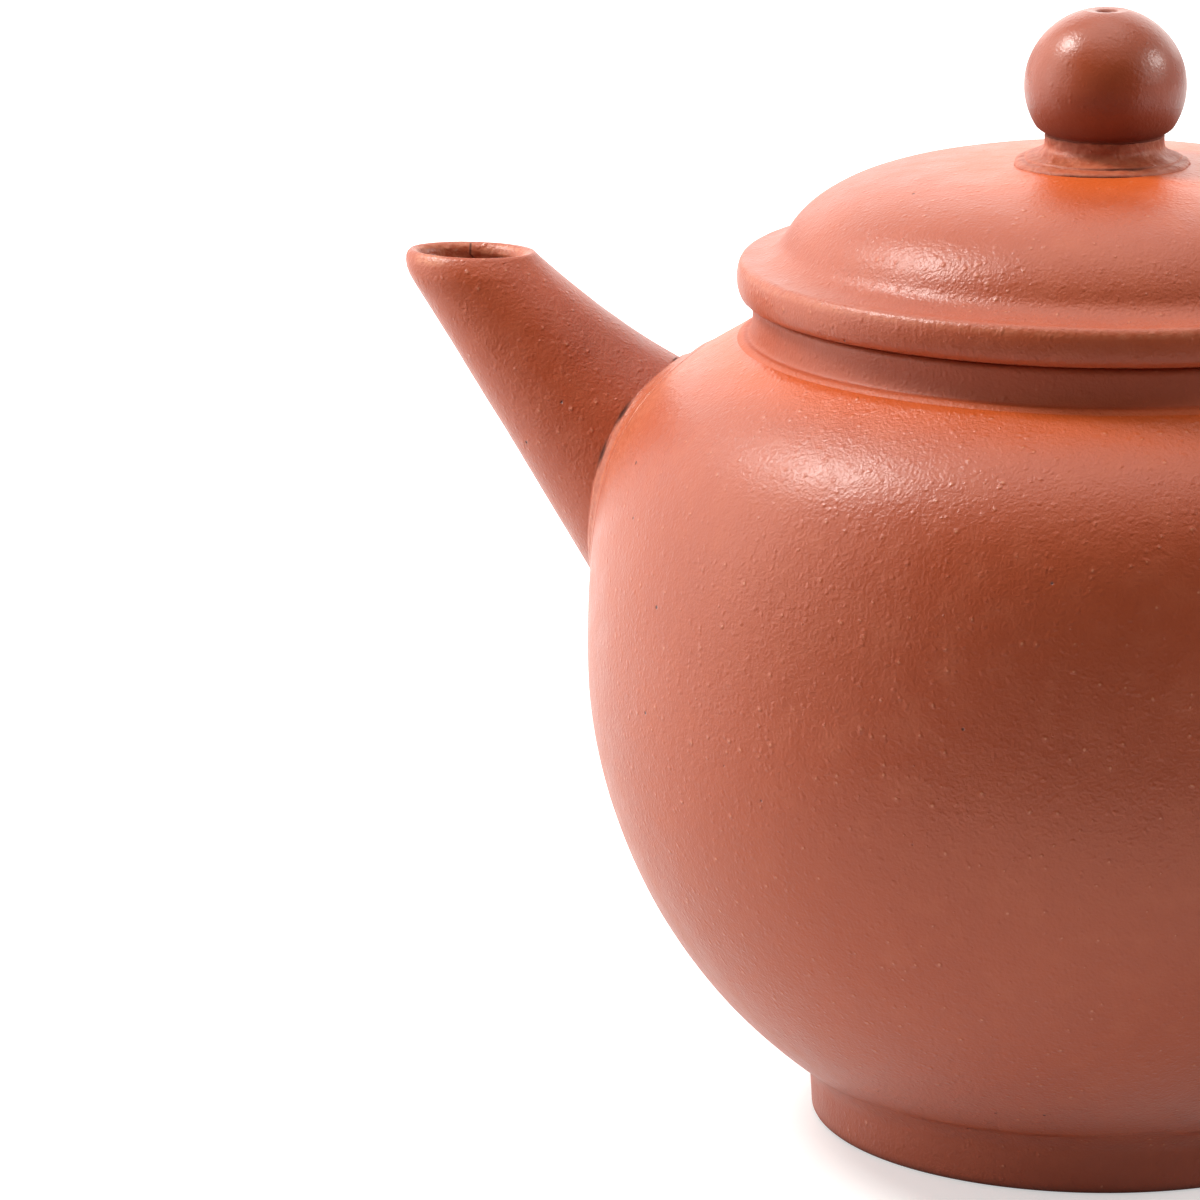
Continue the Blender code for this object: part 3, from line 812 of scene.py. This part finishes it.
def make_foot():
    """Ring foot, tucked into the body so that the joint is a soft crease."""
    high, middle = JOINT_HEIGHT + FOOT_FILLET, JOINT_HEIGHT + FOOT_FILLET / 3
    top = (wall_radius(high) - FOOT_TUCK, high)
    tuck = (FOOT_RADIUS, high)
    wall = (FOOT_RADIUS + FOOT_FLARE, FOOT_COVE_HEIGHT)
    controls = [top, (wall_radius(middle), middle), (wall[0], FOOT_COVE_HEIGHT + FOOT_FILLET), wall]
    cove = curve(controls, COVE_STEPS)
    rounds = (FOOT_ROUND, FOOT_ROUND)
    rounding = arc((FOOT_RADIUS - FOOT_ROUND, FOOT_ROUND), rounds, 0, -90, ROUND_STEPS)
    inner = FOOT_RADIUS - FOOT_WIDTH
    inside = arc((inner + FOOT_ROUND, FOOT_ROUND), rounds, 270, 180, ROUND_STEPS)
    rebate = [(inner, BASE_LOW), (inner + FOOT_ROUND, BASE_LOW + FOOT_ROUND)]
    mesh = turned_mesh("foot", [tuck] + cove + rounding + inside + rebate, FOOT_MESH, LID_WAVES)
    # Painted shade over the whole foot ring
    mark_points(mesh, "raw_and_shade", lambda vertex: FOOT_SHADE)
    # Painted contact shadow: a dark line along the foot's standing edge
    mark_edge(mesh, "crack_and_shade", (FOOT_RADIUS - FOOT_ROUND / 2, 0), FOOT_CONTACT_SHADOW_WIDTH, 1.0)
    add_piece("foot", mesh, "pot", clay_finish("foot_clay", ROUND_STROKES), "clay", "foot_ring")


def make_base():
    """Base disc with a coned edge, closed at its middle."""
    edge = BASE_RADIUS - BASE_CHAMFER
    profile = [(BASE_MIDDLE, BASE_HIGH), (edge, BASE_HIGH), (BASE_RADIUS, JOINT_HEIGHT), (edge, BASE_LOW),
               (BASE_MIDDLE, BASE_LOW)]
    sides, spacing = BASE_MESH
    rings = turned_rings(even(profile, spacing), sides, SOFT_WAVES, closed=False)
    mesh = grid_mesh("base", rings, capped=True)
    mark_points(mesh, "raw_and_shade", lambda vertex: 1.0)
    add_piece("base", mesh, "pot", clay_finish("base_clay", ROUND_STROKES), "inner_clay", "base_disc")


def strainer_rods(dome):
    """Cutters for the strainer's rows of holes."""
    rods = []
    for tilt, count in STRAINER_HOLE_ROWS:
        for number in range(count):
            turn = Matrix.Rotation(2 * math.pi * number / count, 4, "Z")
            lean = Matrix.Rotation(math.radians(tilt), 4, "Y")
            out = Matrix.Translation((0, 0, dome - STRAINER_WALL / 2))
            matrix = port_frame() @ Matrix.Translation((0, 0, STRAINER_SKIRT)) @ turn @ lean @ out
            rods.append((STRAINER_HOLE_RADIUS, STRAINER_HOLE_CUT, matrix))
    return rods


def make_strainer():
    """Pierced dome that stands in the port and bulges into the pot."""
    dome = PORT_RADIUS - GAP
    hollow = dome - STRAINER_WALL
    centre = (0, STRAINER_SKIRT)
    outside = arc(centre, (dome, dome), STRAINER_TOP_ANGLE, 0, STRAINER_STEPS)
    inside = arc(centre, (hollow, hollow), 0, STRAINER_TOP_ANGLE, STRAINER_STEPS)
    line = np.array(outside + [(dome, STRAINER_RECESS), (hollow, STRAINER_RECESS)] + inside)
    shift = port_frame() @ Matrix.Translation(-AXIS)
    upright = turned_rings(line, STRAINER_SIDES, LID_WAVES, closed=False)
    rings = [[shift @ place for place in ring] for ring in upright]
    mesh = grid_mesh("strainer_dome", rings, capped=True)
    mesh = cut_away(mesh, rod_mesh(strainer_rods(dome), STRAINER_HOLE_SIDES))
    mark_points(mesh, "raw_and_shade", lambda vertex: 1.0)
    material = clay_finish("strainer_clay", UPRIGHT_STROKES)
    add_piece("strainer_dome", mesh, "pot", material, "inner_clay", "strainer")


# Spout and handle, luted on

def root_of(line, inside, outside, height):
    """Where a side line of a tube stands this high over the body."""
    for _ in range(ROOT_HALVINGS):
        middle = (inside + outside) / 2
        if over_body(line(middle))[1] < height:
            inside = middle
        else:
            outside = middle
    return outside


def bead_height(distance, crest, swell):
    """Height of the slip fillet over the body, by the distance from the crease along its crest."""
    fillet = crest * bump_of(distance, 0, BEAD_WIDTH)
    lip = BEAD_LIP * (1 + swell) * bump_of(distance, BEAD_LIP_PLACE, BEAD_LIP_WIDTH)
    return fillet + lip + BEAD_SMEAR * bump_of(distance, BEAD_SMEAR_PLACE, BEAD_SMEAR_WIDTH)


def bead_rings(root, crests):
    """Rings of the slip bead from a tube's root out onto the body, ending just under its surface."""
    count = len(root)
    centre = sum(root, Vector()) / count
    rings = []
    for step in range(1, BEAD_RINGS + 1):
        distance = BEAD_REACH * step / BEAD_RINGS
        sink = BEAD_SINK * (step == BEAD_RINGS)
        ring = []
        for side, place in enumerate(root):
            along = root[(side + 1) % count] - root[side - 1]
            away = along.cross(body_normal(place)).normalized()
            if away.dot(place - centre) < 0:
                away = -away
            swell = BEAD_SWELL * noise.noise(place / BEAD_SWELL_LENGTH)
            height = bead_height(distance, crests[side], swell)
            ring.append(on_body(place + away * distance, height + BEAD_SKIN - sink))
        rings.append(ring)
    return rings


def bead_marks(sides):
    """Pale crest and groove of a bead, ring by ring: rubbed clay with a painted highlight on the crest,
    painted sheen in the groove.
    """
    steps = [BEAD_REACH * step / BEAD_RINGS for step in range(1, BEAD_RINGS + 1)]
    crest = [BEAD_CREST_WEAR_AND_HIGHLIGHT * bump_of(step, BEAD_LIP_PLACE, BEAD_LIP_WIDTH) for step in steps]
    groove = [GROOVE_SHEEN * bump_of(step, GROOVE_PLACE, GROOVE_WIDTH) for step in steps]
    return [first + second for first, second in zip(crest, groove) for _ in range(sides)]


def spout_point(t, side, inset=0.0, lift=0.0):
    """Point on the spout's oval at t, from root (0) to mouth (1)."""
    under, over = on_curve(SPOUT_UNDER, t), on_curve(SPOUT_OVER, t)
    half = (over - under) / 2
    half *= 1.0 - inset / half.length
    middle = (over + under) / 2
    width = SPOUT_ROOT_WIDTH + (SPOUT_MOUTH_WIDTH - SPOUT_ROOT_WIDTH) * t - inset
    reach = middle.x + half.x * math.cos(side)
    height = middle.y + half.y * math.cos(side) + lift
    return AXIS + Vector((-reach, width * math.sin(side), height))


def worked(ring, waves):
    """A ring of a tube with the relief of worked clay."""
    centre = sum(ring, Vector()) / len(ring)
    return [place + (place - centre).normalized() * relief(place, waves) for place in ring]


def mouth_wall(side):
    """Wall of the spout at its mouth, thickest at its tip and back."""
    return MOUTH_SIDE_WALL + (MOUTH_END_WALL - MOUTH_SIDE_WALL) * math.cos(side) ** 2


def rim_ring(angles, turn):
    """Ring over the spout's rounded rim, from its outer wall (0) to its bore (pi)."""
    ring = []
    for side in angles:
        tip = (1 - math.cos(side)) / 2
        outer = RIM_ROUND_BACK + (RIM_ROUND_TIP - RIM_ROUND_BACK) * tip
        if turn <= math.pi / 2:
            along = RIM_START + (1 - RIM_START) * math.sin(turn)
            bend = 1 - math.cos(turn)
            ring.append(spout_point(along, side, outer * bend, RIM_RISE * bend))
        else:
            inset = outer + (mouth_wall(side) - outer) * -math.cos(turn)
            ring.append(spout_point(1, side, inset, RIM_RISE - RIM_DROP * (1 - math.sin(turn))))
    return ring


def spout_rings(angles, roots):
    """The spout's outer wall, rim and bore, as three lists of rings."""
    outside = []
    for step in range(SPOUT_LENGTH_RINGS):
        share = step / SPOUT_LENGTH_RINGS
        ring = [spout_point(t + (RIM_START - t) * share, a) for a, t in zip(angles, roots)]
        outside.append(worked(ring, TUBE_WAVES) if step else ring)
    turns = [math.pi * step / RIM_RINGS for step in range(RIM_RINGS + 1)]
    rim = [worked(rim_ring(angles, turn), TUBE_WAVES) for turn in turns]
    bore = []
    for step in range(1, BORE_RINGS + 1):
        ring = []
        for a, t in zip(angles, roots):
            share = step / BORE_RINGS
            wall = mouth_wall(a) + (SPOUT_ROOT_WALL - mouth_wall(a)) * share
            ring.append(spout_point(RIM_START + (t - RIM_START) * share, a, wall))
        bore.append(worked(ring, TUBE_WAVES))
    return outside, rim, bore


def mark_spout(mesh, degrees):
    """Pale bead, rim and bore, cracks along the crease, a scrape on the rim and a slit in the bore; the
    bead carries rubbed clay, a painted highlight and painted sheen, and the bore is painted paler.
    """
    plain = [0.0] * SPOUT_SIDES
    inner = [BORE_PALENESS] * SPOUT_SIDES
    crease = [max(bump_of(angle_gap(d, middle), 0, span) for middle, span in ROOT_CRACKS) for d in degrees]
    scrape = [bump_of(angle_gap(d, SCRAPE_ANGLE), 0, SCRAPE_SPREAD) for d in degrees]
    slit = [float(angle_gap(d, MOUTH_CRACK_ANGLE) < MOUTH_CRACK_SPAN) for d in degrees]
    # Painted sheen over the bead's rings
    slip = [painted_root_sheen(vertex) for vertex in mesh.vertices[:BEAD_RINGS * SPOUT_SIDES]]
    wear_and_sheen = [max(pair) for pair in zip(slip, bead_marks(SPOUT_SIDES)[::-1])] + plain * SPOUT_LENGTH_RINGS
    for step in range(RIM_RINGS + 1):
        if step in SCRAPE_RINGS:
            wear_and_sheen += scrape
        else:
            wear_and_sheen += plain if step < SCRAPE_RINGS.start else inner
    crack_and_shade = plain * (BEAD_RINGS - CRACK_RINGS) + crease * (CRACK_RINGS + CRACK_WALL_RINGS)
    crack_and_shade += plain * (SPOUT_LENGTH_RINGS - CRACK_WALL_RINGS)
    for step in range(RIM_RINGS + 1 + BORE_RINGS):
        crack_and_shade += slit if step in SLIT_RINGS else plain
    set_marks(mesh, "wear_and_sheen", wear_and_sheen + inner * BORE_RINGS)
    set_marks(mesh, "crack_and_shade", crack_and_shade)


def make_spout():
    """Tapered spout, saddled on the body in a slip bead and cut level at its mouth."""
    angles = [2 * math.pi * side / SPOUT_SIDES for side in range(SPOUT_SIDES)]
    crests = [BEAD_HEIGHT * (BEAD_LEAST + (1 - BEAD_LEAST) * math.sin(a) ** 2) for a in angles]
    roots = []
    for a, crest in zip(angles, crests):
        roots.append(root_of(lambda t: spout_point(t, a), SPOUT_INSIDE, SPOUT_OUTSIDE, crest))
    outside, rim, bore = spout_rings(angles, roots)
    mesh = grid_mesh("pouring_spout", bead_rings(outside[0], crests)[::-1] + outside + rim + bore)
    mark_spout(mesh, [math.degrees(a) for a in angles])
    material = clay_finish("spout_clay", UPRIGHT_STROKES, lean=SPOUT_LEAN)
    add_piece("pouring_spout", mesh, "pot", material, "clay", "spout")


def handle_point(t, side):
    """Point on the handle's section at t, from top root (0) to low root (3)."""
    span = min(int(t), len(HANDLE_KNOTS) - 2)
    (start, pull, thick), (end, draw, thin) = HANDLE_KNOTS[span], HANDLE_KNOTS[span + 1]
    controls = [start, start + pull, end - draw, end]
    share = t - span
    tangent = on_curve([b - a for a, b in zip(controls, controls[1:])], share).normalized()
    radius = thick + (thin - thick) * share
    outward = Vector((tangent.z, 0, -tangent.x))
    place = on_curve(controls, share)
    return AXIS + place + outward * radius * math.cos(side) + Vector((0, radius * math.sin(side), 0))


def make_handle():
    """Round ear loop, thicker at its top, luted on at both roots."""
    angles = [2 * math.pi * side / HANDLE_SIDES for side in range(HANDLE_SIDES)]
    last = len(HANDLE_KNOTS) - 1
    crest = BEAD_HEIGHT * BEAD_LEAST
    tops = [root_of(lambda t: handle_point(t, a), 0, HANDLE_TOP_REACH, crest) for a in angles]
    lows = [root_of(lambda t: handle_point(t, a), last, HANDLE_LOW_REACH, crest) for a in angles]
    loop = []
    for step in range(HANDLE_RINGS + 1):
        share = step / HANDLE_RINGS
        ring = [handle_point(top + (low - top) * share, a) for a, top, low in zip(angles, tops, lows)]
        loop.append(ring if step in (0, HANDLE_RINGS) else worked(ring, TUBE_WAVES))
    crests = [crest] * HANDLE_SIDES
    rings = bead_rings(loop[0], crests)[::-1] + loop + bead_rings(loop[-1], crests)
    mesh = grid_mesh("ear_handle", rings, capped=True)
    wear_and_sheen = bead_marks(HANDLE_SIDES)
    plain = [0.0] * (HANDLE_SIDES * len(loop))
    # Rubbed clay and a painted highlight on the beads' crests, painted sheen in their grooves
    set_marks(mesh, "wear_and_sheen", wear_and_sheen[::-1] + plain + wear_and_sheen)
    add_piece("ear_handle", mesh, "pot", clay_finish("handle_clay", UPRIGHT_STROKES), "clay", "handle")


# Lid

def hidden_under(vertex):
    """1 on the lid's underside inside the flange, which stays unburnished."""
    return float(vertex.normal.z < UNDERSIDE_SLOPE and radius_of(vertex.co) < FLANGE_RADIUS)


def make_lid():
    """Domed lid with a coved edge, a rolled lip and a hollow underside."""
    seat = GAP / 2
    dome = dome_line()
    lip = arc((LIP_RADIUS, LIP_RISE), (LIP_HALF_WIDTH, LIP_HALF_HEIGHT), LIP_START, LIP_END, LIP_STEPS)
    cove = curve([dome[-1], DOME_BRIM, lip[0]], COVE_STEPS)[1:-1]
    hollow = FLANGE_RADIUS - FLANGE_WIDTH
    ceiling = DOME_RISE - LID_WALL
    rise = [(hollow, seat + LIP_HALF_HEIGHT), (hollow - LIP_HALF_HEIGHT, ceiling)]
    inside = curve(rise + [(DOME_FLAT, ceiling), (VENT_RADIUS, ceiling)], LIP_STEPS)
    under = [(LIP_RADIUS - LIP_HALF_WIDTH, seat), (hollow, seat)]
    mesh = turned_mesh("lid_dome", dome + cove + lip + under + inside, LID_MESH, LID_WAVES, SEAT)
    mark_edge(mesh, "wear_and_sheen", (LIP_CREST[0], SEAT + LIP_CREST[1]), LIP_CREST_WIDTH, LIP_WEAR)
    mark_points(mesh, "raw_and_shade", hidden_under)
    # Painted orange bounce light on the lid round the pad
    mark_edge(mesh, "painted_bounce", (SMEAR_RADIUS, SEAT + DOME_RISE), KNOB_BOUNCE_WIDTH, KNOB_BOUNCE_SHARE)
    add_piece("lid_dome", mesh, "lid", clay_finish("lid_clay", ROUND_STROKES), "clay", "lid_cover")


def make_flange():
    """Ring under the lid that drops into the mouth."""
    low, top = FLANGE_LOW, FLANGE_HIGH + GAP / 2
    inner = FLANGE_RADIUS - FLANGE_WIDTH
    rounds = (FLANGE_ROUND, FLANGE_ROUND)
    outside = arc((FLANGE_RADIUS - FLANGE_ROUND, low + FLANGE_ROUND), rounds, 0, -90, ROUND_STEPS)
    inside = arc((inner + FLANGE_ROUND, low + FLANGE_ROUND), rounds, 270, 180, ROUND_STEPS)
    profile = [(FLANGE_RADIUS, top)] + outside + inside + [(inner, top)]
    mesh = turned_mesh("lid_ring", profile, FLANGE_MESH, LID_WAVES)
    mark_points(mesh, "raw_and_shade", lambda vertex: FLANGE_TONE)
    material = clay_finish("flange_clay", ROUND_STROKES)
    add_piece("lid_ring", mesh, "lid", material, "inner_clay", "lid_flange")


def pad_sway(radius, turn):
    """How far the ragged skirt of the pad strays, most at its smeared edge."""
    share = max(0.0, (radius - NECK_RADIUS) / (SMEAR_RADIUS - NECK_RADIUS))
    spoke = Vector((math.cos(turn), math.sin(turn), radius / SMEAR_RADIUS))
    rag = noise.noise(spoke * PAD_RAG_TURNS)
    return share * (PAD_RAG * rag + share * PAD_SHIFT * math.cos(turn - PAD_LEAN))


def make_pad():
    """Slip round the knob's neck: an upright collar over a stepped and ragged skirt."""
    neck = [(NECK_RADIUS - NECK_LIP, NECK_TOP), (NECK_RADIUS, NECK_TOP - GAP / 2)]
    cove = curve([(NECK_RADIUS, NECK_LOW), (NECK_RADIUS, PAD_SLOPE[1] + NECK_LIP), PAD_SLOPE], ROUND_STEPS)
    step = (PAD_BRINK[0], PAD_BRINK[1] - PAD_STEP)
    foot = float(np.interp(SMEAR_RADIUS, *zip(*dome_line()))) - PAD_SINK
    roll = curve([step, (SMEAR_RADIUS, step[1]), (SMEAR_RADIUS, foot)], FLARE_STEPS)
    profile = neck + cove + [PAD_BRINK] + roll + [(VENT_RADIUS, foot), (VENT_RADIUS, NECK_TOP)]
    mesh = turned_mesh("pad", profile, PAD_MESH, LUTED_WAVES, SEAT, pad_sway)
    edges = [(SMEAR_RADIUS, SEAT + foot + PAD_SINK), (step[0], SEAT + step[1])]

    def crack_of(vertex):
        turn = turn_of(vertex.co)
        value = 0.0
        for (radius, height), (middle, span) in zip(edges, PAD_CRACKS):
            reach = radius + pad_sway(radius, turn)
            distance = math.hypot(radius_of(vertex.co) - reach, vertex.co.z - height)
            near = bump_of(angle_gap(math.degrees(turn), middle), 0, span)
            value = max(value, near * bump_of(distance, 0, PAD_CRACK_WIDTH))
        return value

    mark_points(mesh, "crack_and_shade", crack_of)
    mark_points(mesh, "wear_and_sheen", lambda vertex: PAD_WEAR)
    # Painted shade round the neck's top, under the knob
    mark_edge(mesh, "raw_and_shade", (NECK_RADIUS, SEAT + NECK_TOP), NECK_SHADE_WIDTH, NECK_SHADE)
    material = clay_finish("pad_clay", ROUND_STROKES, roughness=MATTE_ROUGHNESS)
    add_piece("pad", mesh, "lid", material, "clay", "knob_pad")


def make_knob():
    """Ball knob, burnished, with a small vent in a shallow dish."""
    centre, radii = (0, KNOB_CENTRE), (KNOB_RADIUS, KNOB_HALF_HEIGHT)
    ball = arc(centre, radii, KNOB_TOP_ANGLE, KNOB_TURN_ANGLE, BALL_STEPS)
    turn = curve([ball[-1], *KNOB_TURN], ROUND_STEPS)[1:]
    top = ball[0][1] - VENT_SINK
    controls = [(VENT_RADIUS, top - VENT_DISH * 2), (VENT_RADIUS, top - VENT_DISH), (VENT_MOUTH, top)]
    dish = curve(controls, ROUND_STEPS)
    profile = ball + turn + [KNOB_NECK, (VENT_RADIUS, KNOB_NECK[1])] + dish
    mesh = turned_mesh("ball_knob", profile, KNOB_MESH, LID_WAVES, SEAT)

    def shade_of(vertex):
        depth = (SEAT + KNOB_SHADE_TOP - vertex.co.z) / (KNOB_SHADE_TOP - KNOB_NECK[1])
        return min(1.0, max(0.0, depth))

    def tone_and_shade_of(vertex):
        tone = KNOB_TONE + (KNOB_SHADE - KNOB_TONE) * shade_of(vertex)
        return max(float(radius_of(vertex.co) < VENT_MOUTH), tone)

    # Painted shade: darker towards the knob's underside; the vent's dish and hole are darkened fully
    mark_points(mesh, "raw_and_shade", tone_and_shade_of)
    # Painted shade under the knob, deepening towards its neck
    mark_points(mesh, "crack_and_shade", lambda vertex: KNOB_UNDER_SHADE * shade_of(vertex) ** 2)
    material = clay_finish("knob_clay", UPRIGHT_STROKES, KNOB_GRAIN, KNOB_SAND, pitted=False,
                           roughness=KNOB_ROUGHNESS)
    add_piece("ball_knob", mesh, "lid", material, "clay", "knob")


# Studio

def seen_ray(tree):
    """1 for camera, glossy and transmission rays."""
    path = node(tree, "LightPath").outputs
    seen = math_of(tree, "MAXIMUM", path["Is Camera Ray"], path["Is Glossy Ray"])
    return math_of(tree, "MAXIMUM", seen, path["Is Transmission Ray"])


def add_stage(name, places, faces):
    mesh = bpy.data.meshes.new(name)
    mesh.from_pydata(places, [], faces)
    piece = bpy.data.objects.new(name, mesh)
    bpy.context.scene.collection.objects.link(piece)
    material = bpy.data.materials.new(name + "_paint")
    material.use_nodes = True
    mesh.materials.append(material)
    return piece, material.node_tree


def make_floor():
    """White table that keeps the pot's shadow and shows white to the camera."""
    corners = [(-FLOOR_HALF, -FLOOR_HALF, 0), (FLOOR_HALF, -FLOOR_HALF, 0),
               (FLOOR_HALF, FLOOR_HALF, 0), (-FLOOR_HALF, FLOOR_HALF, 0)]
    table, tree = add_stage("table", corners, [(0, 1, 2, 3)])
    tree.nodes.remove(tree.nodes["Principled BSDF"])
    place = node(tree, "TexCoord").outputs["Object"]
    reach = node(tree, "VectorMath", {0: place}, operation="LENGTH").outputs["Value"]
    glow = ranged(tree, reach, FLOOR_GLOW_NEAR, FLOOR_GLOW_FAR, FLOOR_GLOW, 1.0)
    lit = math_of(tree, "MULTIPLY", glow, seen_ray(tree))
    paper = node(tree, "BsdfDiffuse", {"Color": (FLOOR_WHITE, FLOOR_WHITE, FLOOR_WHITE, 1)}).outputs[0]
    shine = node(tree, "Emission", {"Strength": lit}).outputs[0]
    surface = node(tree, "AddShader", {0: paper, 1: shine}).outputs[0]
    tree.links.new(surface, tree.nodes["Material Output"].inputs["Surface"])


def make_world():
    world = bpy.data.worlds.new("studio")
    world.use_nodes = True
    bpy.context.scene.world = world
    tree = world.node_tree
    background = tree.nodes["Background"]
    background.inputs["Color"].default_value = (1, 1, 1, 1)
    tree.links.new(ranged(tree, seen_ray(tree), 0.0, 1.0, WORLD_LEVEL, 1.0), background.inputs["Strength"])


def make_flag():
    """Dark card before the pot, flat on the table and upright, which only the pot's gloss shows."""
    turns = [math.radians(FLAG_SPREAD * (2 * step / FLAG_FOLDS - 1)) for step in range(FLAG_FOLDS + 1)]
    rows = [(FLAG_NEAR, FLAG_CLEAR), (FLAG_DISTANCE, FLAG_CLEAR), (FLAG_DISTANCE, FLAG_HEIGHT)]
    places = [(reach * math.sin(a), -reach * math.cos(a), height) for reach, height in rows for a in turns]
    count = FLAG_FOLDS + 1
    starts = [row * count + fold for row in range(len(rows) - 1) for fold in range(FLAG_FOLDS)]
    flag, tree = add_stage("flag", places, [(k, k + 1, k + 1 + count, k + count) for k in starts])
    flag.visible_camera = False
    flag.visible_shadow = False
    flag.visible_diffuse = False
    shader = tree.nodes["Principled BSDF"]
    shader.inputs["Base Color"].default_value = (FLAG_GREY, FLAG_GREY, FLAG_GREY, 1)
    shader.inputs["Roughness"].default_value = 1.0
    shader.inputs["Specular IOR Level"].default_value = 0.0


def add_softbox(name, direction, distance, width, height, power):
    lamp = bpy.data.lights.new(name, "AREA")
    lamp.energy = power
    lamp.shape = "ELLIPSE"
    lamp.color = LAMP_TINT
    lamp.size = width
    lamp.size_y = height
    box = bpy.data.objects.new(name, lamp)
    aim = Vector(direction).normalized()
    target = AXIS + Vector((0, 0, BELLY_HEIGHT))
    box.location = target + aim * distance
    box.rotation_euler = aim.to_track_quat("Z", "Y").to_euler()
    box.visible_camera = False
    bpy.context.scene.collection.objects.link(box)


def make_camera():
    camera = bpy.data.cameras.new("photo_camera")
    camera.lens = CAMERA_LENS
    camera.sensor_width = SENSOR_WIDTH
    eye = bpy.data.objects.new("photo_camera", camera)
    eye.location = CAMERA_PLACE
    eye.rotation_euler = (CAMERA_TILT, 0, CAMERA_TURN)
    bpy.context.scene.collection.objects.link(eye)
    bpy.context.scene.camera = eye


bpy.context.scene.view_settings.view_transform = "Standard"
make_camera()
make_floor()
make_world()
make_flag()
for box_name, settings in SOFT_BOXES.items():
    add_softbox(box_name, *settings)

make_body()
make_collar()
make_foot()
make_base()
make_strainer()
make_spout()
make_handle()
make_lid()
make_flange()
make_pad()
make_knob()
